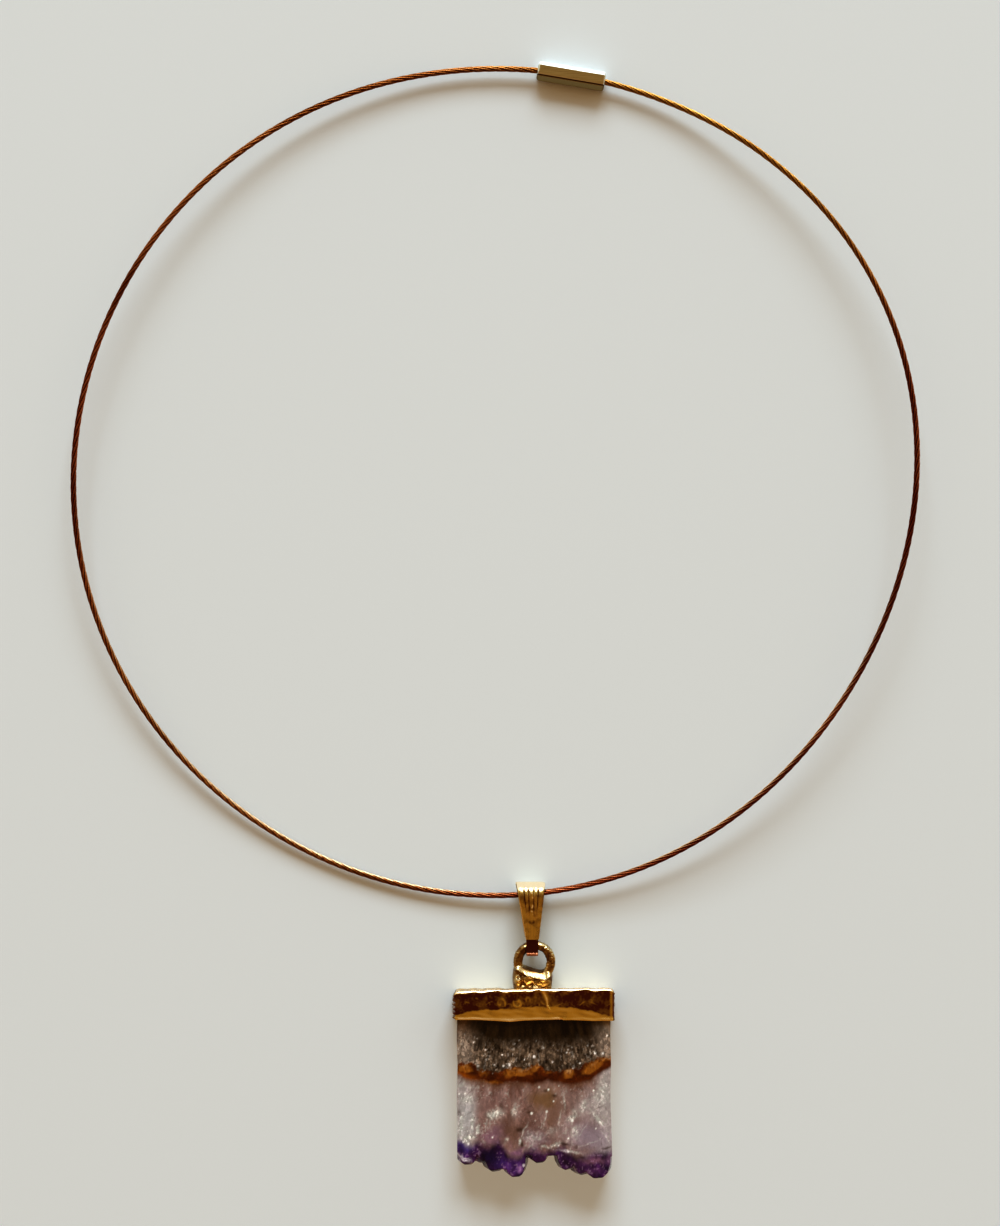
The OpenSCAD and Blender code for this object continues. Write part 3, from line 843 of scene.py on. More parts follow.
def front_relief(x, y):
    """Height of the cap's front over its flat sheet, and each place's tarnish and painted highlight."""
    ridge_low = CAP_TOP - RIDGE_T + roll_line(x)
    ridge = past(y, ridge_low, 0.3)
    band_top = np.interp(x, BAND_X, BAND_TOP) + 0.07 * np.sin(2.1 * x) + 0.04 * np.sin(5.3 * x)
    in_band = smooth_step((band_top - y) / 0.3 + 0.5)
    lip = 0.1 * hump(y - CAP_LOW - 0.2 - 0.06 * np.sin(1.7 * x), 0.22)
    notch = hump(x - NOTCH_X, 0.2) * hump(y - CAP_LOW, 0.35)
    drip_line = x - 1.55 + (y - CAP_TOP) * 0.38 - 0.1 * np.sin(2.6 * y)
    drip = hump(drip_line, 0.15 + 0.25 * past(y, 14.3, 1.2)) * past(y, CAP_LOW + 1.3, 0.6)
    rim_right = hump(x - CAP_W / 2 + 0.55, 0.22)
    from_end = np.minimum(CAP_W / 2 - 0.9 - x, (ridge_low - y) * 1.4)
    ripples = 0.035 * np.cos(from_end * 2 * math.pi / 0.36) * before(from_end, 1.3, 0.8) * past(x, 8.5, 2)
    rough = 0.035 * lumps(x, y, 0, 1.8) + 0.01 * lumps(x, y, 0, 0.7)
    vine = 0.12 * hump(y - CAP_LOW - 2.75 - 0.4 * np.sin(1.5 * x + 0.6 * np.sin(0.9 * x)), 0.16)
    field = (1 - in_band) * (np.maximum(0.8 * curl_height(x, y), vine) + rough + ripples - 0.1)
    field += in_band * (0.25 * rough + 0.03) + lip
    height = np.maximum(field + 0.16 * drip, 0.25 * ridge + 0.15 * rough) + 0.06 * rim_right - 0.28 * notch

    above_band = (1 - in_band) * before(y, ridge_low + 0.48, 0.2)
    # painted highlight along the lip, weaker past the notch
    pale_lip = (0.62 + 0.18 * lumps(x, 0, 0, 4)) * (1 - 0.55 * past(x, NOTCH_X, 0.3))
    pale_lip *= hump(y - CAP_LOW - 0.27, 0.22) * before(np.abs(x), 13.2, 0.5)
    streaks = np.sin(0.9 * x + 1.3 * np.sin(0.8 * x) + 4.5 * y) * np.sin(0.37 * x - 2.7 * y + 1)
    streaks += 0.3 * np.sin(2.3 * x + 7 * y)
    # tarnish in the low places of the upper field, less along the right rim, where a painted highlight runs
    tarnish_and_painted_light = above_band * before(height - 0.25 * ridge, 0.11, 0.14) * (1 - 0.5 * rim_right)
    tarnish_and_painted_light *= 0.9 + 0.13 * lumps(0.5 * x, y, 0, 1.6) + 0.07 * lumps(x, y, 0, 0.5)
    tarnish_and_painted_light += above_band * (0.12 * past(-x, 5, 4) + 0.1 * past(x, 3, 4))
    tarnish_and_painted_light = np.clip(tarnish_and_painted_light, 0, 1.1) - pale_lip * (1 - notch) + 0.17 * in_band * streaks
    return height, tarnish_and_painted_light - 0.9 * drip * past(y, 13.6, 1)


def build_cap():
    """The cap's skin as one net over its front, top and sides: its points, its faces and its rim."""
    across = np.linspace(-CAP_W / 2, CAP_W / 2, CAP_COLUMNS + 1)
    up = np.linspace(CAP_LOW, CAP_TOP, CAP_ROWS + 1)
    deep = np.linspace(CAP_FRONT, 0, CAP_DEPTHS + 1)
    order = [(x, y, CAP_FRONT) for x in across for y in up]
    order += [(x, CAP_TOP, z) for x in across for z in deep[1:]]
    order += [(x, y, z) for x in (across[0], across[-1]) for y in up[:-1] for z in deep[1:]]
    top_from = len(across) * len(up)
    side_from = top_from + len(across) * CAP_DEPTHS

    def front(i, j):
        return i * len(up) + j

    def top(i, k):
        return front(i, CAP_ROWS) if k == 0 else top_from + i * CAP_DEPTHS + k - 1

    def side(at, j, k):
        if k == 0:
            return front(at, j)
        if j == CAP_ROWS:
            return top(at, k)
        return side_from + ((at > 0) * CAP_ROWS + j) * CAP_DEPTHS + k - 1

    def net(spot, columns, rows):
        return [(spot(i, j), spot(i + 1, j), spot(i + 1, j + 1), spot(i, j + 1))
                for i in range(columns) for j in range(rows)]

    faces = net(front, CAP_COLUMNS, CAP_ROWS) + net(top, CAP_COLUMNS, CAP_DEPTHS)
    for at in (0, CAP_COLUMNS):
        faces += net(lambda j, k: side(at, j, k), CAP_ROWS, CAP_DEPTHS)

    rim = [front(i, 0) for i in range(CAP_COLUMNS + 1)]
    rim += [side(CAP_COLUMNS, 0, k) for k in range(1, CAP_DEPTHS + 1)]
    rim += [side(CAP_COLUMNS, j, CAP_DEPTHS) for j in range(1, CAP_ROWS + 1)]
    rim += [top(i, CAP_DEPTHS) for i in range(CAP_COLUMNS - 1, -1, -1)]
    rim += [side(0, j, CAP_DEPTHS) for j in range(CAP_ROWS - 1, -1, -1)]
    rim += [side(0, 0, k) for k in range(CAP_DEPTHS - 1, 0, -1)]
    return np.array(order), faces, rim


spots, skin_faces, rim = build_cap()
x, y, z = spots.T
core = spots.copy()
core[:, 0] = np.clip(x, -CAP_W / 2 + END_R, CAP_W / 2 - END_R)
core[:, 1] = np.minimum(y, CAP_TOP - CORNER_R)
core[:, 2] = np.minimum(z, CAP_FRONT - CORNER_R)
push = spots - core
length = np.linalg.norm(push, axis=1)
outside = np.where(length[:, None] > 1e-9, push / np.maximum(length, 1e-9)[:, None], 0)
corner = np.where(np.abs(outside[:, 0]) > 0.5, END_R, CORNER_R)
rounded = core + outside * np.where(length > 0, corner, 0)[:, None]
height, tarnish_and_painted_light = front_relief(x, y)
facing_front = np.clip(outside[:, 2], 0, 1) ** 0.5
facing_up = np.clip(outside[:, 1], 0, 1)
side_rough = (0.05 * lumps(x, y, z, 1.6) + 0.025 * lumps(x, y, z, 0.7)) * past(z, 0, 0.6)
swell = ROLL * facing_up * np.clip(outside[:, 2] + 0.35, 0, 1) + 0.5 * roll_line(x) * facing_up
outer_skin = rounded + outside * (facing_front * height + (1 - facing_front) * side_rough + swell)[:, None]
tuck = 0.42 * before(z, CAP_FRONT - 0.9, 2.4) * past(y, SEAT_TOP, 0.6)
outer_skin[:, 1] += np.interp(x, TOP_X, TOP_SHIFT) * past(y, 14.2, 1.6) * past(z, 1, 3) - tuck
outer_skin[:, 1] -= 0.5 * np.clip((np.abs(x) - CAP_W / 2 + 1.1) / 1.1, 0, 1) ** 2 * past(y, 15, 1.2)
outer_skin[:, 1] += np.interp(x, LIP_X, LIP_SHIFT) * before(y, CAP_LOW + 1.2, 1.2)
comb = 0.56 * (np.abs(((y - CAP_LOW) / 0.74) % 1 - 0.5) * 2) - 0.24
on_comb = (x < -CAP_W / 2 + 0.3) * (y < 15.2)
outer_skin[:, 0] += comb * on_comb * np.clip(-outside[:, 0], 0, 1) * past(z, 0.3, 0.6)
outer_skin[:, 2] = np.maximum(outer_skin[:, 2], 0)
inner_skin = np.stack([
    np.clip(x, -SLICE_W / 2 - SEAT_GAP, SLICE_W / 2 + SEAT_GAP),
    np.where(y < CAP_LOW + 0.01, outer_skin[:, 1], np.minimum(y, SEAT_TOP)),
    np.minimum(z, SLICE_T + SEAT_GAP),
], 1)
count = len(spots)
cap_faces = skin_faces + [tuple(count + v for v in reversed(f)) for f in skin_faces]
cap_faces += [(a, b, count + b, count + a) for a, b in zip(rim, rim[1:] + rim[:1])]
cap = add_mesh("cap_casting", np.vstack([outer_skin, inner_skin]) * MM, cap_faces)
# painted shade on the cap's ends and on its top face, and a painted highlight along the rolled ridge; the
# inner skin is darker
on_ridge = past(y, CAP_TOP - 0.3, 0.2) * past(z, 3.2, 1.5)
on_end = 0.8 * past(np.abs(outside[:, 0]), 0.1, 0.4)
on_top = 0.25 * past(outside[:, 1], 0.8, 0.15) * before(z, 5, 0.6)
tarnish_with_painted_light = tarnish_and_painted_light * facing_front * (1 - on_end) + on_end + (on_top - 0.12 * on_ridge) * (1 - on_end)
set_marks(cap, "tarnish_and_painted_light", np.concatenate([tarnish_with_painted_light, np.full(count, 0.8)]))
cap.data.materials.append(gold_finish(
    "cap_gold", 1.6, 0.2, 0.2, rubbed=(1, 0.76, 0.49), flat=(0.97, 0.69, 0.175), dull=(0.14, 0.043, 0.028)
))
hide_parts("cap")
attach(cap, "root")

# The eye and its solder
# A rough gold wire ring that stands in a puddle of solder on the middle of the cap.
# The solder has run into a wave from left to right, with a small curl at its left end.
WAVE_X = [-3.7, -3.2, -2.85, -1.9, -1.1, 0.1, 1.05, 2, 2.9, 3.4]
WAVE_LOW = [20.1, 20, 19.9, 19.3, 18.9, 18.6, 18.35, 18.2, 18.9, 19.3]
WAVE_HIGH = [20.7, 20.6, 20.5, 20.1, 19.75, 19.5, 19.25, 19.3, 20, 20.1]
# mounds of solder below the wave: x, y, half width, half height
MOUNDS = [(-2.75, 17.7, 0.75, 0.8), (-0.95, 18.05, 0.95, 0.9), (1.5, 17.7, 1.45, 0.85)]
CURL_AT = (-2.7, 18.5)
SEAM_X = -0.05
WAVE_CREST = 4.35
DIP_AT = (-2.0, 19.05)
SOLDER_X = (-3.65, 3.25)
SOLDER_Y = (CAP_TOP - 0.1, 20.9)
SOLDER_BACK = 1.5
SOLDER_COLUMNS = 92
SOLDER_ROWS = 60
EYE_MID = (0.13, 21.15)
EYE_RING_R = 2.85
EYE_WIRE_R = 0.77
EYE_STEPS = 96
EYE_SIDES = 20
EYE_VOXEL = 0.075


def add_ring(work, mid, radius, wire_r):
    """A round wire bent to a ring about its middle, in a mesh that is being built."""
    rings = []
    for turn in np.linspace(0, 2 * math.pi, EYE_STEPS, endpoint=False):
        way = Vector((math.cos(turn), math.sin(turn), 0))
        sides = [2 * math.pi * k / EYE_SIDES for k in range(EYE_SIDES)]
        centre = Vector(mid) + radius * way
        ways = [math.cos(side) * way + math.sin(side) * UP for side in sides]
        rings.append([work.verts.new((centre + wire_r * out) * MM) for out in ways])
    for one, two in zip(rings, rings[1:] + rings[:1]):
        for k in range(EYE_SIDES):
            after = (k + 1) % EYE_SIDES
            work.faces.new((one[k], one[after], two[after], two[k]))


def mound_rise(x, y):
    """How far up the nearest mound of solder each place is, from 0 between them to 1 at a crown."""
    rise = np.zeros_like(x)
    for mid_x, mid_y, half_w, half_h in MOUNDS:
        rise = np.maximum(rise, 1 - ((x - mid_x) / half_w) ** 2 - ((y - mid_y) / half_h) ** 2)
    return rise


def solder_height(x, y):
    """The front of the solder: a sloping wave beside the ring, and below it mounds and a foot on the cap."""
    low, high = np.interp(x, WAVE_X, WAVE_LOW), np.interp(x, WAVE_X, WAVE_HIGH)
    wave = -0.62 * np.clip((y - low) / (high - low), 0, 2) - 2 * np.clip((y - high) / 0.5, 0, 1) ** 2
    below = 0.05 * lumps(x, y, 0, 1.5) + 0.5 * np.sqrt(mound_rise(x, y) + 0.02) - 0.6 * before(y, low, 0.35)
    below += 0.3 * hump(x - SEAM_X, 0.16) * before(y, low, 0.3) * past(y, 16.8, 0.4)
    foot = 0.5 * before(y, 17.25, 0.45) * (0.6 + 0.4 * np.sin(1.9 * x + 1))
    curl = 0.3 * hump(np.hypot(x - CURL_AT[0], y - CURL_AT[1]) - 0.34, 0.14)
    curl -= 0.35 * hump(np.hypot(x - DIP_AT[0], y - DIP_AT[1]), 0.3)
    height = WAVE_CREST + np.where(y > low, wave, below) + foot + curl
    round_off = np.clip((np.abs(x + 0.2) - 2.5) / 0.95, 0, 1)
    return height - 1.6 * (1 - np.sqrt(1 - round_off ** 2 * 0.98))


work = bmesh.new()
grid_x, grid_y = np.meshgrid(
    np.linspace(*SOLDER_X, SOLDER_COLUMNS + 1), np.linspace(*SOLDER_Y, SOLDER_ROWS + 1), indexing="ij"
)
grid_z = np.maximum(solder_height(grid_x, grid_y), SOLDER_BACK + 0.2)
keep_y = np.minimum(grid_y, np.interp(grid_x, WAVE_X, WAVE_HIGH) + 0.35)
grid_x = -0.2 + (grid_x + 0.2) * (1 - 0.1 * ((grid_y - 18.3) / 2.3) ** 2)
front, back = (
    [[work.verts.new(Vector(p) * MM) for p in zip(*row)] for row in zip(grid_x, keep_y, depth)]
    for depth in (grid_z, np.full_like(grid_z, SOLDER_BACK))
)
for i in range(SOLDER_COLUMNS):
    for j in range(SOLDER_ROWS):
        work.faces.new((front[i][j], front[i + 1][j], front[i + 1][j + 1], front[i][j + 1]))
        work.faces.new((back[i][j], back[i][j + 1], back[i + 1][j + 1], back[i + 1][j]))
    for j in (0, SOLDER_ROWS):
        work.faces.new((front[i][j], front[i + 1][j], back[i + 1][j], back[i][j]))
for j in range(SOLDER_ROWS):
    for i in (0, SOLDER_COLUMNS):
        work.faces.new((front[i][j], front[i][j + 1], back[i][j + 1], back[i][j]))
add_ring(work, (*EYE_MID, MID_HEIGHT), EYE_RING_R, EYE_WIRE_R)
eye = put("eye_and_solder", end_mesh(work, bpy.data.meshes.new("eye_and_solder")))


def melt(piece, voxel, softness, rounds):
    """Fuses a piece's parts into one skin of small faces, and smooths it."""
    fused = piece.modifiers.new("fused", "REMESH")
    fused.mode = "VOXEL"
    fused.voxel_size = voxel * MM
    calmed = piece.modifiers.new("calmed", "SMOOTH")
    calmed.factor = softness
    calmed.iterations = rounds
    piece.data = plain_mesh(piece)
    piece.data.polygons.foreach_set("use_smooth", [True] * len(piece.data.polygons))


def mesh_spots(piece):
    """A piece's points and their normals as arrays, the points in millimetres."""
    spots = np.empty(len(piece.data.vertices) * 3, np.float32)
    piece.data.vertices.foreach_get("co", spots)
    normals = np.empty(len(piece.data.vertices) * 3, np.float32)
    piece.data.vertex_normals.foreach_get("vector", normals)
    return spots.reshape(-1, 3).astype(float) / MM, normals.reshape(-1, 3)


melt(eye, EYE_VOXEL, 0.6, 5)
eye_spots, eye_normals = mesh_spots(eye)
ex, ey, ez = eye_spots.T
on_ring = past(ey, 19.9, 0.6)
pitted = on_ring * past(ex, 1.2, 1.2) + 0.7 * on_ring * past(-ex, 2.2, 0.8)
dents = (0.02 + 0.02 * on_ring) * lumps(ex, ey, ez, 1.7)
dents += (0.006 + 0.035 * pitted) * lumps(ex, ey, ez, 0.45)
dented = (eye_spots + eye_normals * dents[:, None]) * MM
eye.data.vertices.foreach_set("co", dented.astype(np.float32).ravel())

# tarnish in dents; painted shade on sides turned from the window, between the mounds below the wave, over
# the wave and deeper beyond it, and on the ring's upper left; painted highlights on the mound crowns, the
# curl, the seam and the foot
eye_tarnish_and_painted_light = 0.5 * past(-dents, 0, 0.05) + (0.2 + 0.4 * on_ring) * before(eye_normals[:, 1], 0.35, 0.4)
below_wave = before(ey, np.interp(ex, WAVE_X, WAVE_LOW), 0.25) * past(ez, 2, 0.5)
past_wave = past(ey, np.interp(ex, WAVE_X, WAVE_HIGH) - 0.3, 0.35) * before(ex, 1.9, 0.4)
eye_tarnish_and_painted_light += below_wave * (0.62 - 0.75 * mound_rise(ex, ey))
eye_tarnish_and_painted_light += (0.3 + 0.5 * past_wave) * (1 - below_wave) * (1 - on_ring)
pale_curl = hump(np.hypot(ex - CURL_AT[0], ey - CURL_AT[1]) - 0.3, 0.16)
pale_curl += hump(ex + 2.0 + 1.18 * (ey - 18.2), 0.22) * before(np.abs(ey - 18.15), 0.45, 0.2)
pale_seam = 0.7 * hump(ex - SEAM_X - 0.15 * np.sin(3 * ey), 0.13) * before(ey, 18.4, 0.3)
pale_foot = 0.8 * before(ey, 16.95, 0.25) * past(np.sin(2.1 * ex + 0.6), 0, 0.5)
eye_tarnish_and_painted_light -= below_wave * (pale_curl + pale_seam + pale_foot)
upper_left = hump(np.degrees(np.arctan2(ey - EYE_MID[1], ex - EYE_MID[0])) - 128, 26)
eye_tarnish_and_painted_light += 0.5 * upper_left * on_ring
set_marks(eye, "tarnish_and_painted_light", np.clip(eye_tarnish_and_painted_light, -0.9, 1))
eye.data.materials.append(gold_finish(
    "eye_gold", 1.0, 0.35, 0.3, rubbed=(0.8, 0.69, 0.42), flat=(0.68, 0.44, 0.14), dull=(0.17, 0.08, 0.026)
))
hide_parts("cap")
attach(eye, "root")

# The crystal slice
# A sawn and polished slice of an amethyst geode: its smoky side under the cap, deepened by painted shade
# from the cap, sparkling grains with painted glints, a rust band, milky quartz grown in columns, and the
# violet points that lined the hollow, left as they grew.
POINT_L = 15.4
POINT_BLUNT = 0.5
SIDE_LEFT = -13.15
SIDE_RIGHT = 13.4
SMALL_REACH = 13.3
SAW_INSET = 0.01
STONE_VOXEL = 0.155
SLAB_EDGE = [
    (-13.1, 15.3), (-13.2, 8), (-13.08, 3.5), (-13.2, -1.5), (-13.1, -6), (-13.15, -11.4), (13.4, -11.8),
    (13.3, -7), (13.1, -2), (13.2, 4), (13.1, 9), (13.15, 15.3),
]
# x, tip's height above the lowest, radius, lean in degrees, turn, height in the slab, stretch through it
POINTS = [
    (-11.3, 2, 2.3, 3, 5, 0.5, 2), (-8.5, 2.4, 1.7, 14, 24, 0.7, 1.2), (-6.5, 0.8, 2.5, 7, 4, 0.45, 1.9),
    (-3.3, 0, 2.3, -3, 10, 0.55, 2.1), (0.9, 2.3, 2.1, 2, 8, 0.5, 2.2), (3, 3, 1.5, 8, 30, 0.3, 1.4),
    (5.8, 1.2, 1.9, 12, 6, 0.55, 2.2), (8.5, 0.2, 2.6, 6, 14, 0.42, 1.8),
    (10.9, -0.1, 2.9, 1, 5, 0.55, 2.1),
]
SMALL_POINTS = 34
# along a crystal from its tip: how far as a share of its radius, how far in millimetres, how wide
POINT_RINGS = [(0, 0, POINT_BLUNT), (0.28, 0, 0.82), (0.85, 0, 1), (0.85, 4, 1)]


def add_point(work, x, rise, radius, lean, turn, high, deep):
    """One six-sided crystal with a blunt tip, cut flat by the slice's front and back."""
    verts = []
    for share_up, more, width in POINT_RINGS:
        for k in range(6):
            way = width * radius * way_at(turn + 60 * k)
            spot = Vector((way.x, share_up * radius + more, -way.y * deep))
            spot.rotate(Euler((0, 0, math.radians(lean))))
            verts.append(work.verts.new((spot + Vector((x, rise - POINT_L, high * SLICE_T))) * MM))
    made = bmesh.ops.convex_hull(work, input=verts)
    shell = list(made["geom"])
    saw_cuts = [
        ((0, 0, SAW_INSET), (0, 0, -1)), ((0, 0, SLICE_T - SAW_INSET), (0, 0, 1)),
        ((SIDE_LEFT, 0, 0), (-1, 0, 0)), ((SIDE_RIGHT, 0, 0), (1, 0, 0)),
    ]
    for spot, way in saw_cuts:
        saw = {"plane_co": Vector(spot) * MM, "plane_no": way, "clear_outer": True}
        cut = bmesh.ops.bisect_plane(work, geom=shell, **saw)
        rim = [g for g in cut["geom_cut"] if isinstance(g, bmesh.types.BMEdge)]
        closed = bmesh.ops.edgeloop_fill(work, edges=rim)["faces"] if rim else []
        shell = [g for g in cut["geom"] if g.is_valid] + closed
        shell += list({v for f in closed for v in f.verts} | {e for f in closed for e in f.edges})
        shell = list(dict.fromkeys(shell))


work = bmesh.new()
floor_ring, roof_ring = (
    [work.verts.new(Vector((x, y, z)) * MM) for x, y in SLAB_EDGE] for z in (0, SLICE_T)
)
work.faces.new(floor_ring)
work.faces.new(roof_ring)
for k in range(len(SLAB_EDGE)):
    n = (k + 1) % len(SLAB_EDGE)
    work.faces.new((floor_ring[k], floor_ring[n], roof_ring[n], roof_ring[k]))
rng = np.random.default_rng(11)
for point in POINTS:
    add_point(work, *point)
for _ in range(SMALL_POINTS):
    x, rise, radius, lean, turn, high, deep = POINTS[rng.integers(len(POINTS))]
    small = radius * rng.uniform(0.28, 0.5)
    x = float(np.clip(x + rng.uniform(-0.85, 0.85) * radius, small - SMALL_REACH, SMALL_REACH - small))
    lean = float(np.clip(lean + rng.uniform(-16, 16), -8 if x < 0 else -18, 18 if x < 0 else 8))
    rise += rng.uniform(0.25, 1.3)
    add_point(work, x, rise, small, lean, rng.uniform(0, 60), rng.uniform(0.08, 0.92), 1.2)
stone = put("crystal_body", end_mesh(work, bpy.data.meshes.new("crystal_body")))
melt(stone, STONE_VOXEL, 0.5, 3)


CELL_PRIMES = np.array([374761393, 668265263, 1440662683])
SEED_PRIME = 974711
MIX_PRIME = 1274126177


def whole_noise(cell, seed):
    """A number from 0 to 1 for each whole-numbered cell."""
    mixed = (cell @ CELL_PRIMES + seed * SEED_PRIME) & 0xFFFFFFFF
    mixed = ((mixed ^ (mixed >> 13)) * MIX_PRIME) & 0xFFFFFFFF
    return ((mixed ^ (mixed >> 16)) & 0xFFFFFF) / 0xFFFFFF


def cloud(spots, size, seed, octaves=4):
    """Smooth noise from 0 to 1, with lumps of one size and smaller ones on them."""
    total, weight = 0, 0
    for octave in range(octaves):
        at = spots / (np.asarray(size) / 2 ** octave) + 17.3 * octave
        low = np.floor(at).astype(np.int64)
        part = smooth_step(at - low)
        value = 0
        for corner in range(8):
            step = np.array([corner & 1, corner >> 1 & 1, corner >> 2 & 1])
            share = np.prod(np.where(step, part, 1 - part), axis=1)
            value = value + share * whole_noise(low + step, seed + octave)
        total, weight = total + value / 2 ** octave, weight + 1 / 2 ** octave
    return total / weight


def grain_cells(spots, size, seed):
    """Crystal grains: distance to the nearest one's middle and to its border, and its number from 0 to 1."""
    at = spots / np.asarray(size)
    low = np.floor(at).astype(np.int64)
    best = np.full(len(at), 9.0)
    second = np.full(len(at), 9.0)
    own = np.zeros(len(at))
    for step in np.ndindex(3, 3, 3):
        cell = low + step - 1
        middle = cell + np.stack([whole_noise(cell, seed + k) for k in range(3)], 1)
        gap = np.linalg.norm(at - middle, axis=1)
        closer = gap < best
        second = np.where(closer, best, np.minimum(second, gap))
        own = np.where(closer, whole_noise(cell, seed + 7), own)
        best = np.where(closer, gap, best)
    return best, second - best, own


def mix_tone(first, second, share):
    """A mix of two colours, which may each be one colour or one for every point."""
    return np.asarray(first) + (np.asarray(second) - np.asarray(first)) * np.clip(share, 0, 1)[:, None]


RUST_TOP = [
    (-13.4, 4), (-12.6, 4.1), (-11.3, 4.3), (-10.1, 4.1), (-9.7, 3.1), (-8.4, 2.9), (-7.1, 2.55),
    (-5.6, 2.6), (-4.8, 3.1), (-3.3, 3.5), (-1.4, 3.1), (-0.8, 3.5), (0.5, 4.1), (1.5, 3.5), (2, 2.75),
    (3.4, 2.75), (5.1, 2.95), (6.2, 3.1), (7.7, 3.3), (8.7, 4.1), (10, 4.5), (11.5, 5.2), (13.4, 5.2),
]
RUST_LOW = [
    (-13.4, 2.4), (-12.6, 2.2), (-11.8, 1.6), (-9.9, 1.2), (-8.6, 1.2), (-7.1, 0.5), (-5.8, 0.55),
    (-4.8, 1), (-3.3, 1), (-1.4, 0.85), (-0.2, 0.65), (1.5, 1), (2.4, 1.4), (3.5, 0.85), (5.1, 0.65),
    (6.2, 0.65), (7.7, 1), (9.6, 1.2), (11, 2.2), (11.9, 2.9), (13.4, 3.5),
]
VIOLET_TOP = [
    (-13.4, -8.9), (-12.2, -9.1), (-11.8, -9.9), (-10.4, -9.9), (-9.9, -9.2), (-9, -9.4), (-7.5, -10.2),
    (-6.1, -9.2), (-5.2, -10.4), (-4.4, -11.8), (-3, -12), (-2, -11.6), (-1.6, -10.8), (-0.6, -10.5),
    (0.5, -10.4), (1.8, -11.2), (3.4, -11), (4.1, -10.4), (5.3, -10.1), (5.7, -11), (7.2, -11.9), (9, -12),
    (10.6, -11.1), (13.4, -11),
]
# where fractures whiten the quartz, and a few painted highlights along crystal edges at the lower left: x,
# y, half length, half width, turn in degrees, strength
WHITE_PATCHES = [
    (-6.5, -4.5, 1.2, 0.8, 10, 0.9), (-3.3, -3.9, 1.2, 0.6, 85, 0.5), (-11.5, -2.2, 0.9, 0.7, 0, 0.6),
    (6.5, -5, 1.1, 0.55, 60, 1), (10.8, -5.1, 1.4, 0.28, -48, 0.95), (8.5, -3.4, 1, 0.6, 40, 0.5),
    (-9.7, -7.2, 0.95, 0.35, 70, 1), (-11.3, -8.9, 1.2, 0.6, 10, 1), (-12.4, -6.5, 1.8, 0.6, 88, 0.5),
    (-2.3, -9.2, 0.5, 0.25, 80, 1), (-4.8, -9.2, 0.5, 0.3, 60, 0.6), (3.7, -9.8, 0.9, 0.35, 15, 0.7),
    (2.4, -10.3, 0.9, 0.22, -14, 0.9), (6.2, -11, 1.8, 0.22, -8, 0.8), (7, -7.5, 1.1, 0.8, 50, 0.45),
    (3, -7.6, 1, 0.8, 20, 0.35), (-11.8, 6, 2, 0.9, 85, 0.6), (11.9, 7, 2.2, 1, 85, 0.5),
    (11.8, -1, 2.4, 1.3, 80, 0.5), (5.1, -2.6, 1.4, 0.16, 88, 0.8), (-8.1, -5.8, 0.9, 0.16, 78, 0.7),
    (-10.7, -5.8, 1.5, 0.25, 84, 0.6), (0.1, -8.5, 1.6, 1, 10, 0.35), (1.9, -5.6, 1.6, 0.14, 88, 0.5),
    (-1.6, -7.7, 1.6, 0.14, 70, 0.55), (4.5, -5.6, 1.7, 0.14, 85, 0.4), (-12.6, 0.6, 1.4, 0.25, 60, 0.6),
    (10, 3.4, 0.8, 0.2, 20, 0.5), (12.4, -8.6, 1.2, 0.12, -62, 0.5), (9.4, -9.6, 1.6, 0.12, 25, 0.4),
    (8.2, -7.6, 1.3, 0.1, 62, 0.4), (-12.4, -11.7, 1.1, 0.14, -32, 1), (-11.9, -12.3, 0.9, 0.12, -28, 0.9),
    (-10.9, -13, 0.4, 0.14, 0, 0.9),
]
# clearer, browner columns, the same way
CLEAR_PATCHES = [
    (-4.4, -4, 1.2, 0.55, 88, 0.7), (3.6, -4.6, 2.4, 1.1, 88, 0.9), (-9, -2.8, 1.7, 1.4, 60, 0.4),
    (1.6, -1.8, 2.4, 1.7, 0, 0.9), (0.3, -5.6, 1.6, 1, 70, 0.35), (-3.6, -7.4, 2, 1.2, 80, 0.6),
    (-7.4, -7.4, 1.6, 1.1, 70, 0.4), (9.9, -8.6, 3, 1.9, -20, 0.8),
]
# painted shadows: small dark patches beside fractures, the same way
FRACTURE_SHADOWS = [
    (-7.4, -5.1, 0.6, 0.25, -25, 0.7), (3.5, -1.6, 0.5, 0.3, 0, 0.8), (2, -0.5, 0.5, 0.25, 0, 0.7),
    (-2.2, -7.2, 0.8, 0.35, -15, 0.8), (-1.9, -9.8, 0.25, 0.5, 0, 0.9), (-0.8, -4.1, 0.4, 0.2, 0, 0.6),
    (5.2, -9.7, 1, 0.3, -8, 0.8), (12.3, -10.3, 0.9, 0.2, 5, 0.7), (8.3, -0.4, 0.4, 0.3, 0, 0.5),
    (-12.9, -4.3, 0.3, 0.6, 0, 0.5), (-5.5, -3.2, 0.3, 0.6, 20, 0.5), (8.6, -11.8, 0.5, 0.3, 20, 0.7),
]
# amber in the rust band, the same way
AMBER_PATCHES = [
    (-11.7, 3.5, 1.1, 0.7, 0, 1), (-8.8, 2.5, 1.3, 0.6, -20, 0.55), (-2.7, 2.7, 2.3, 1, 6, 1.1),
    (0, 3.7, 1.1, 0.5, 0, 0.9), (2.3, 2.9, 0.8, 0.5, 0, 0.6), (5.8, 2.5, 1.2, 0.9, -10, 1.1),
    (9.8, 2.9, 2.3, 1.4, 50, 1.1), (12.2, 4.9, 1.5, 0.6, 0, 1.1), (-7.8, 1, 2.6, 0.6, -8, 0.6),
    (-4.4, 0.8, 1.6, 0.4, 0, 0.5), (7.8, 1.2, 1, 0.5, 20, 0.6),
]
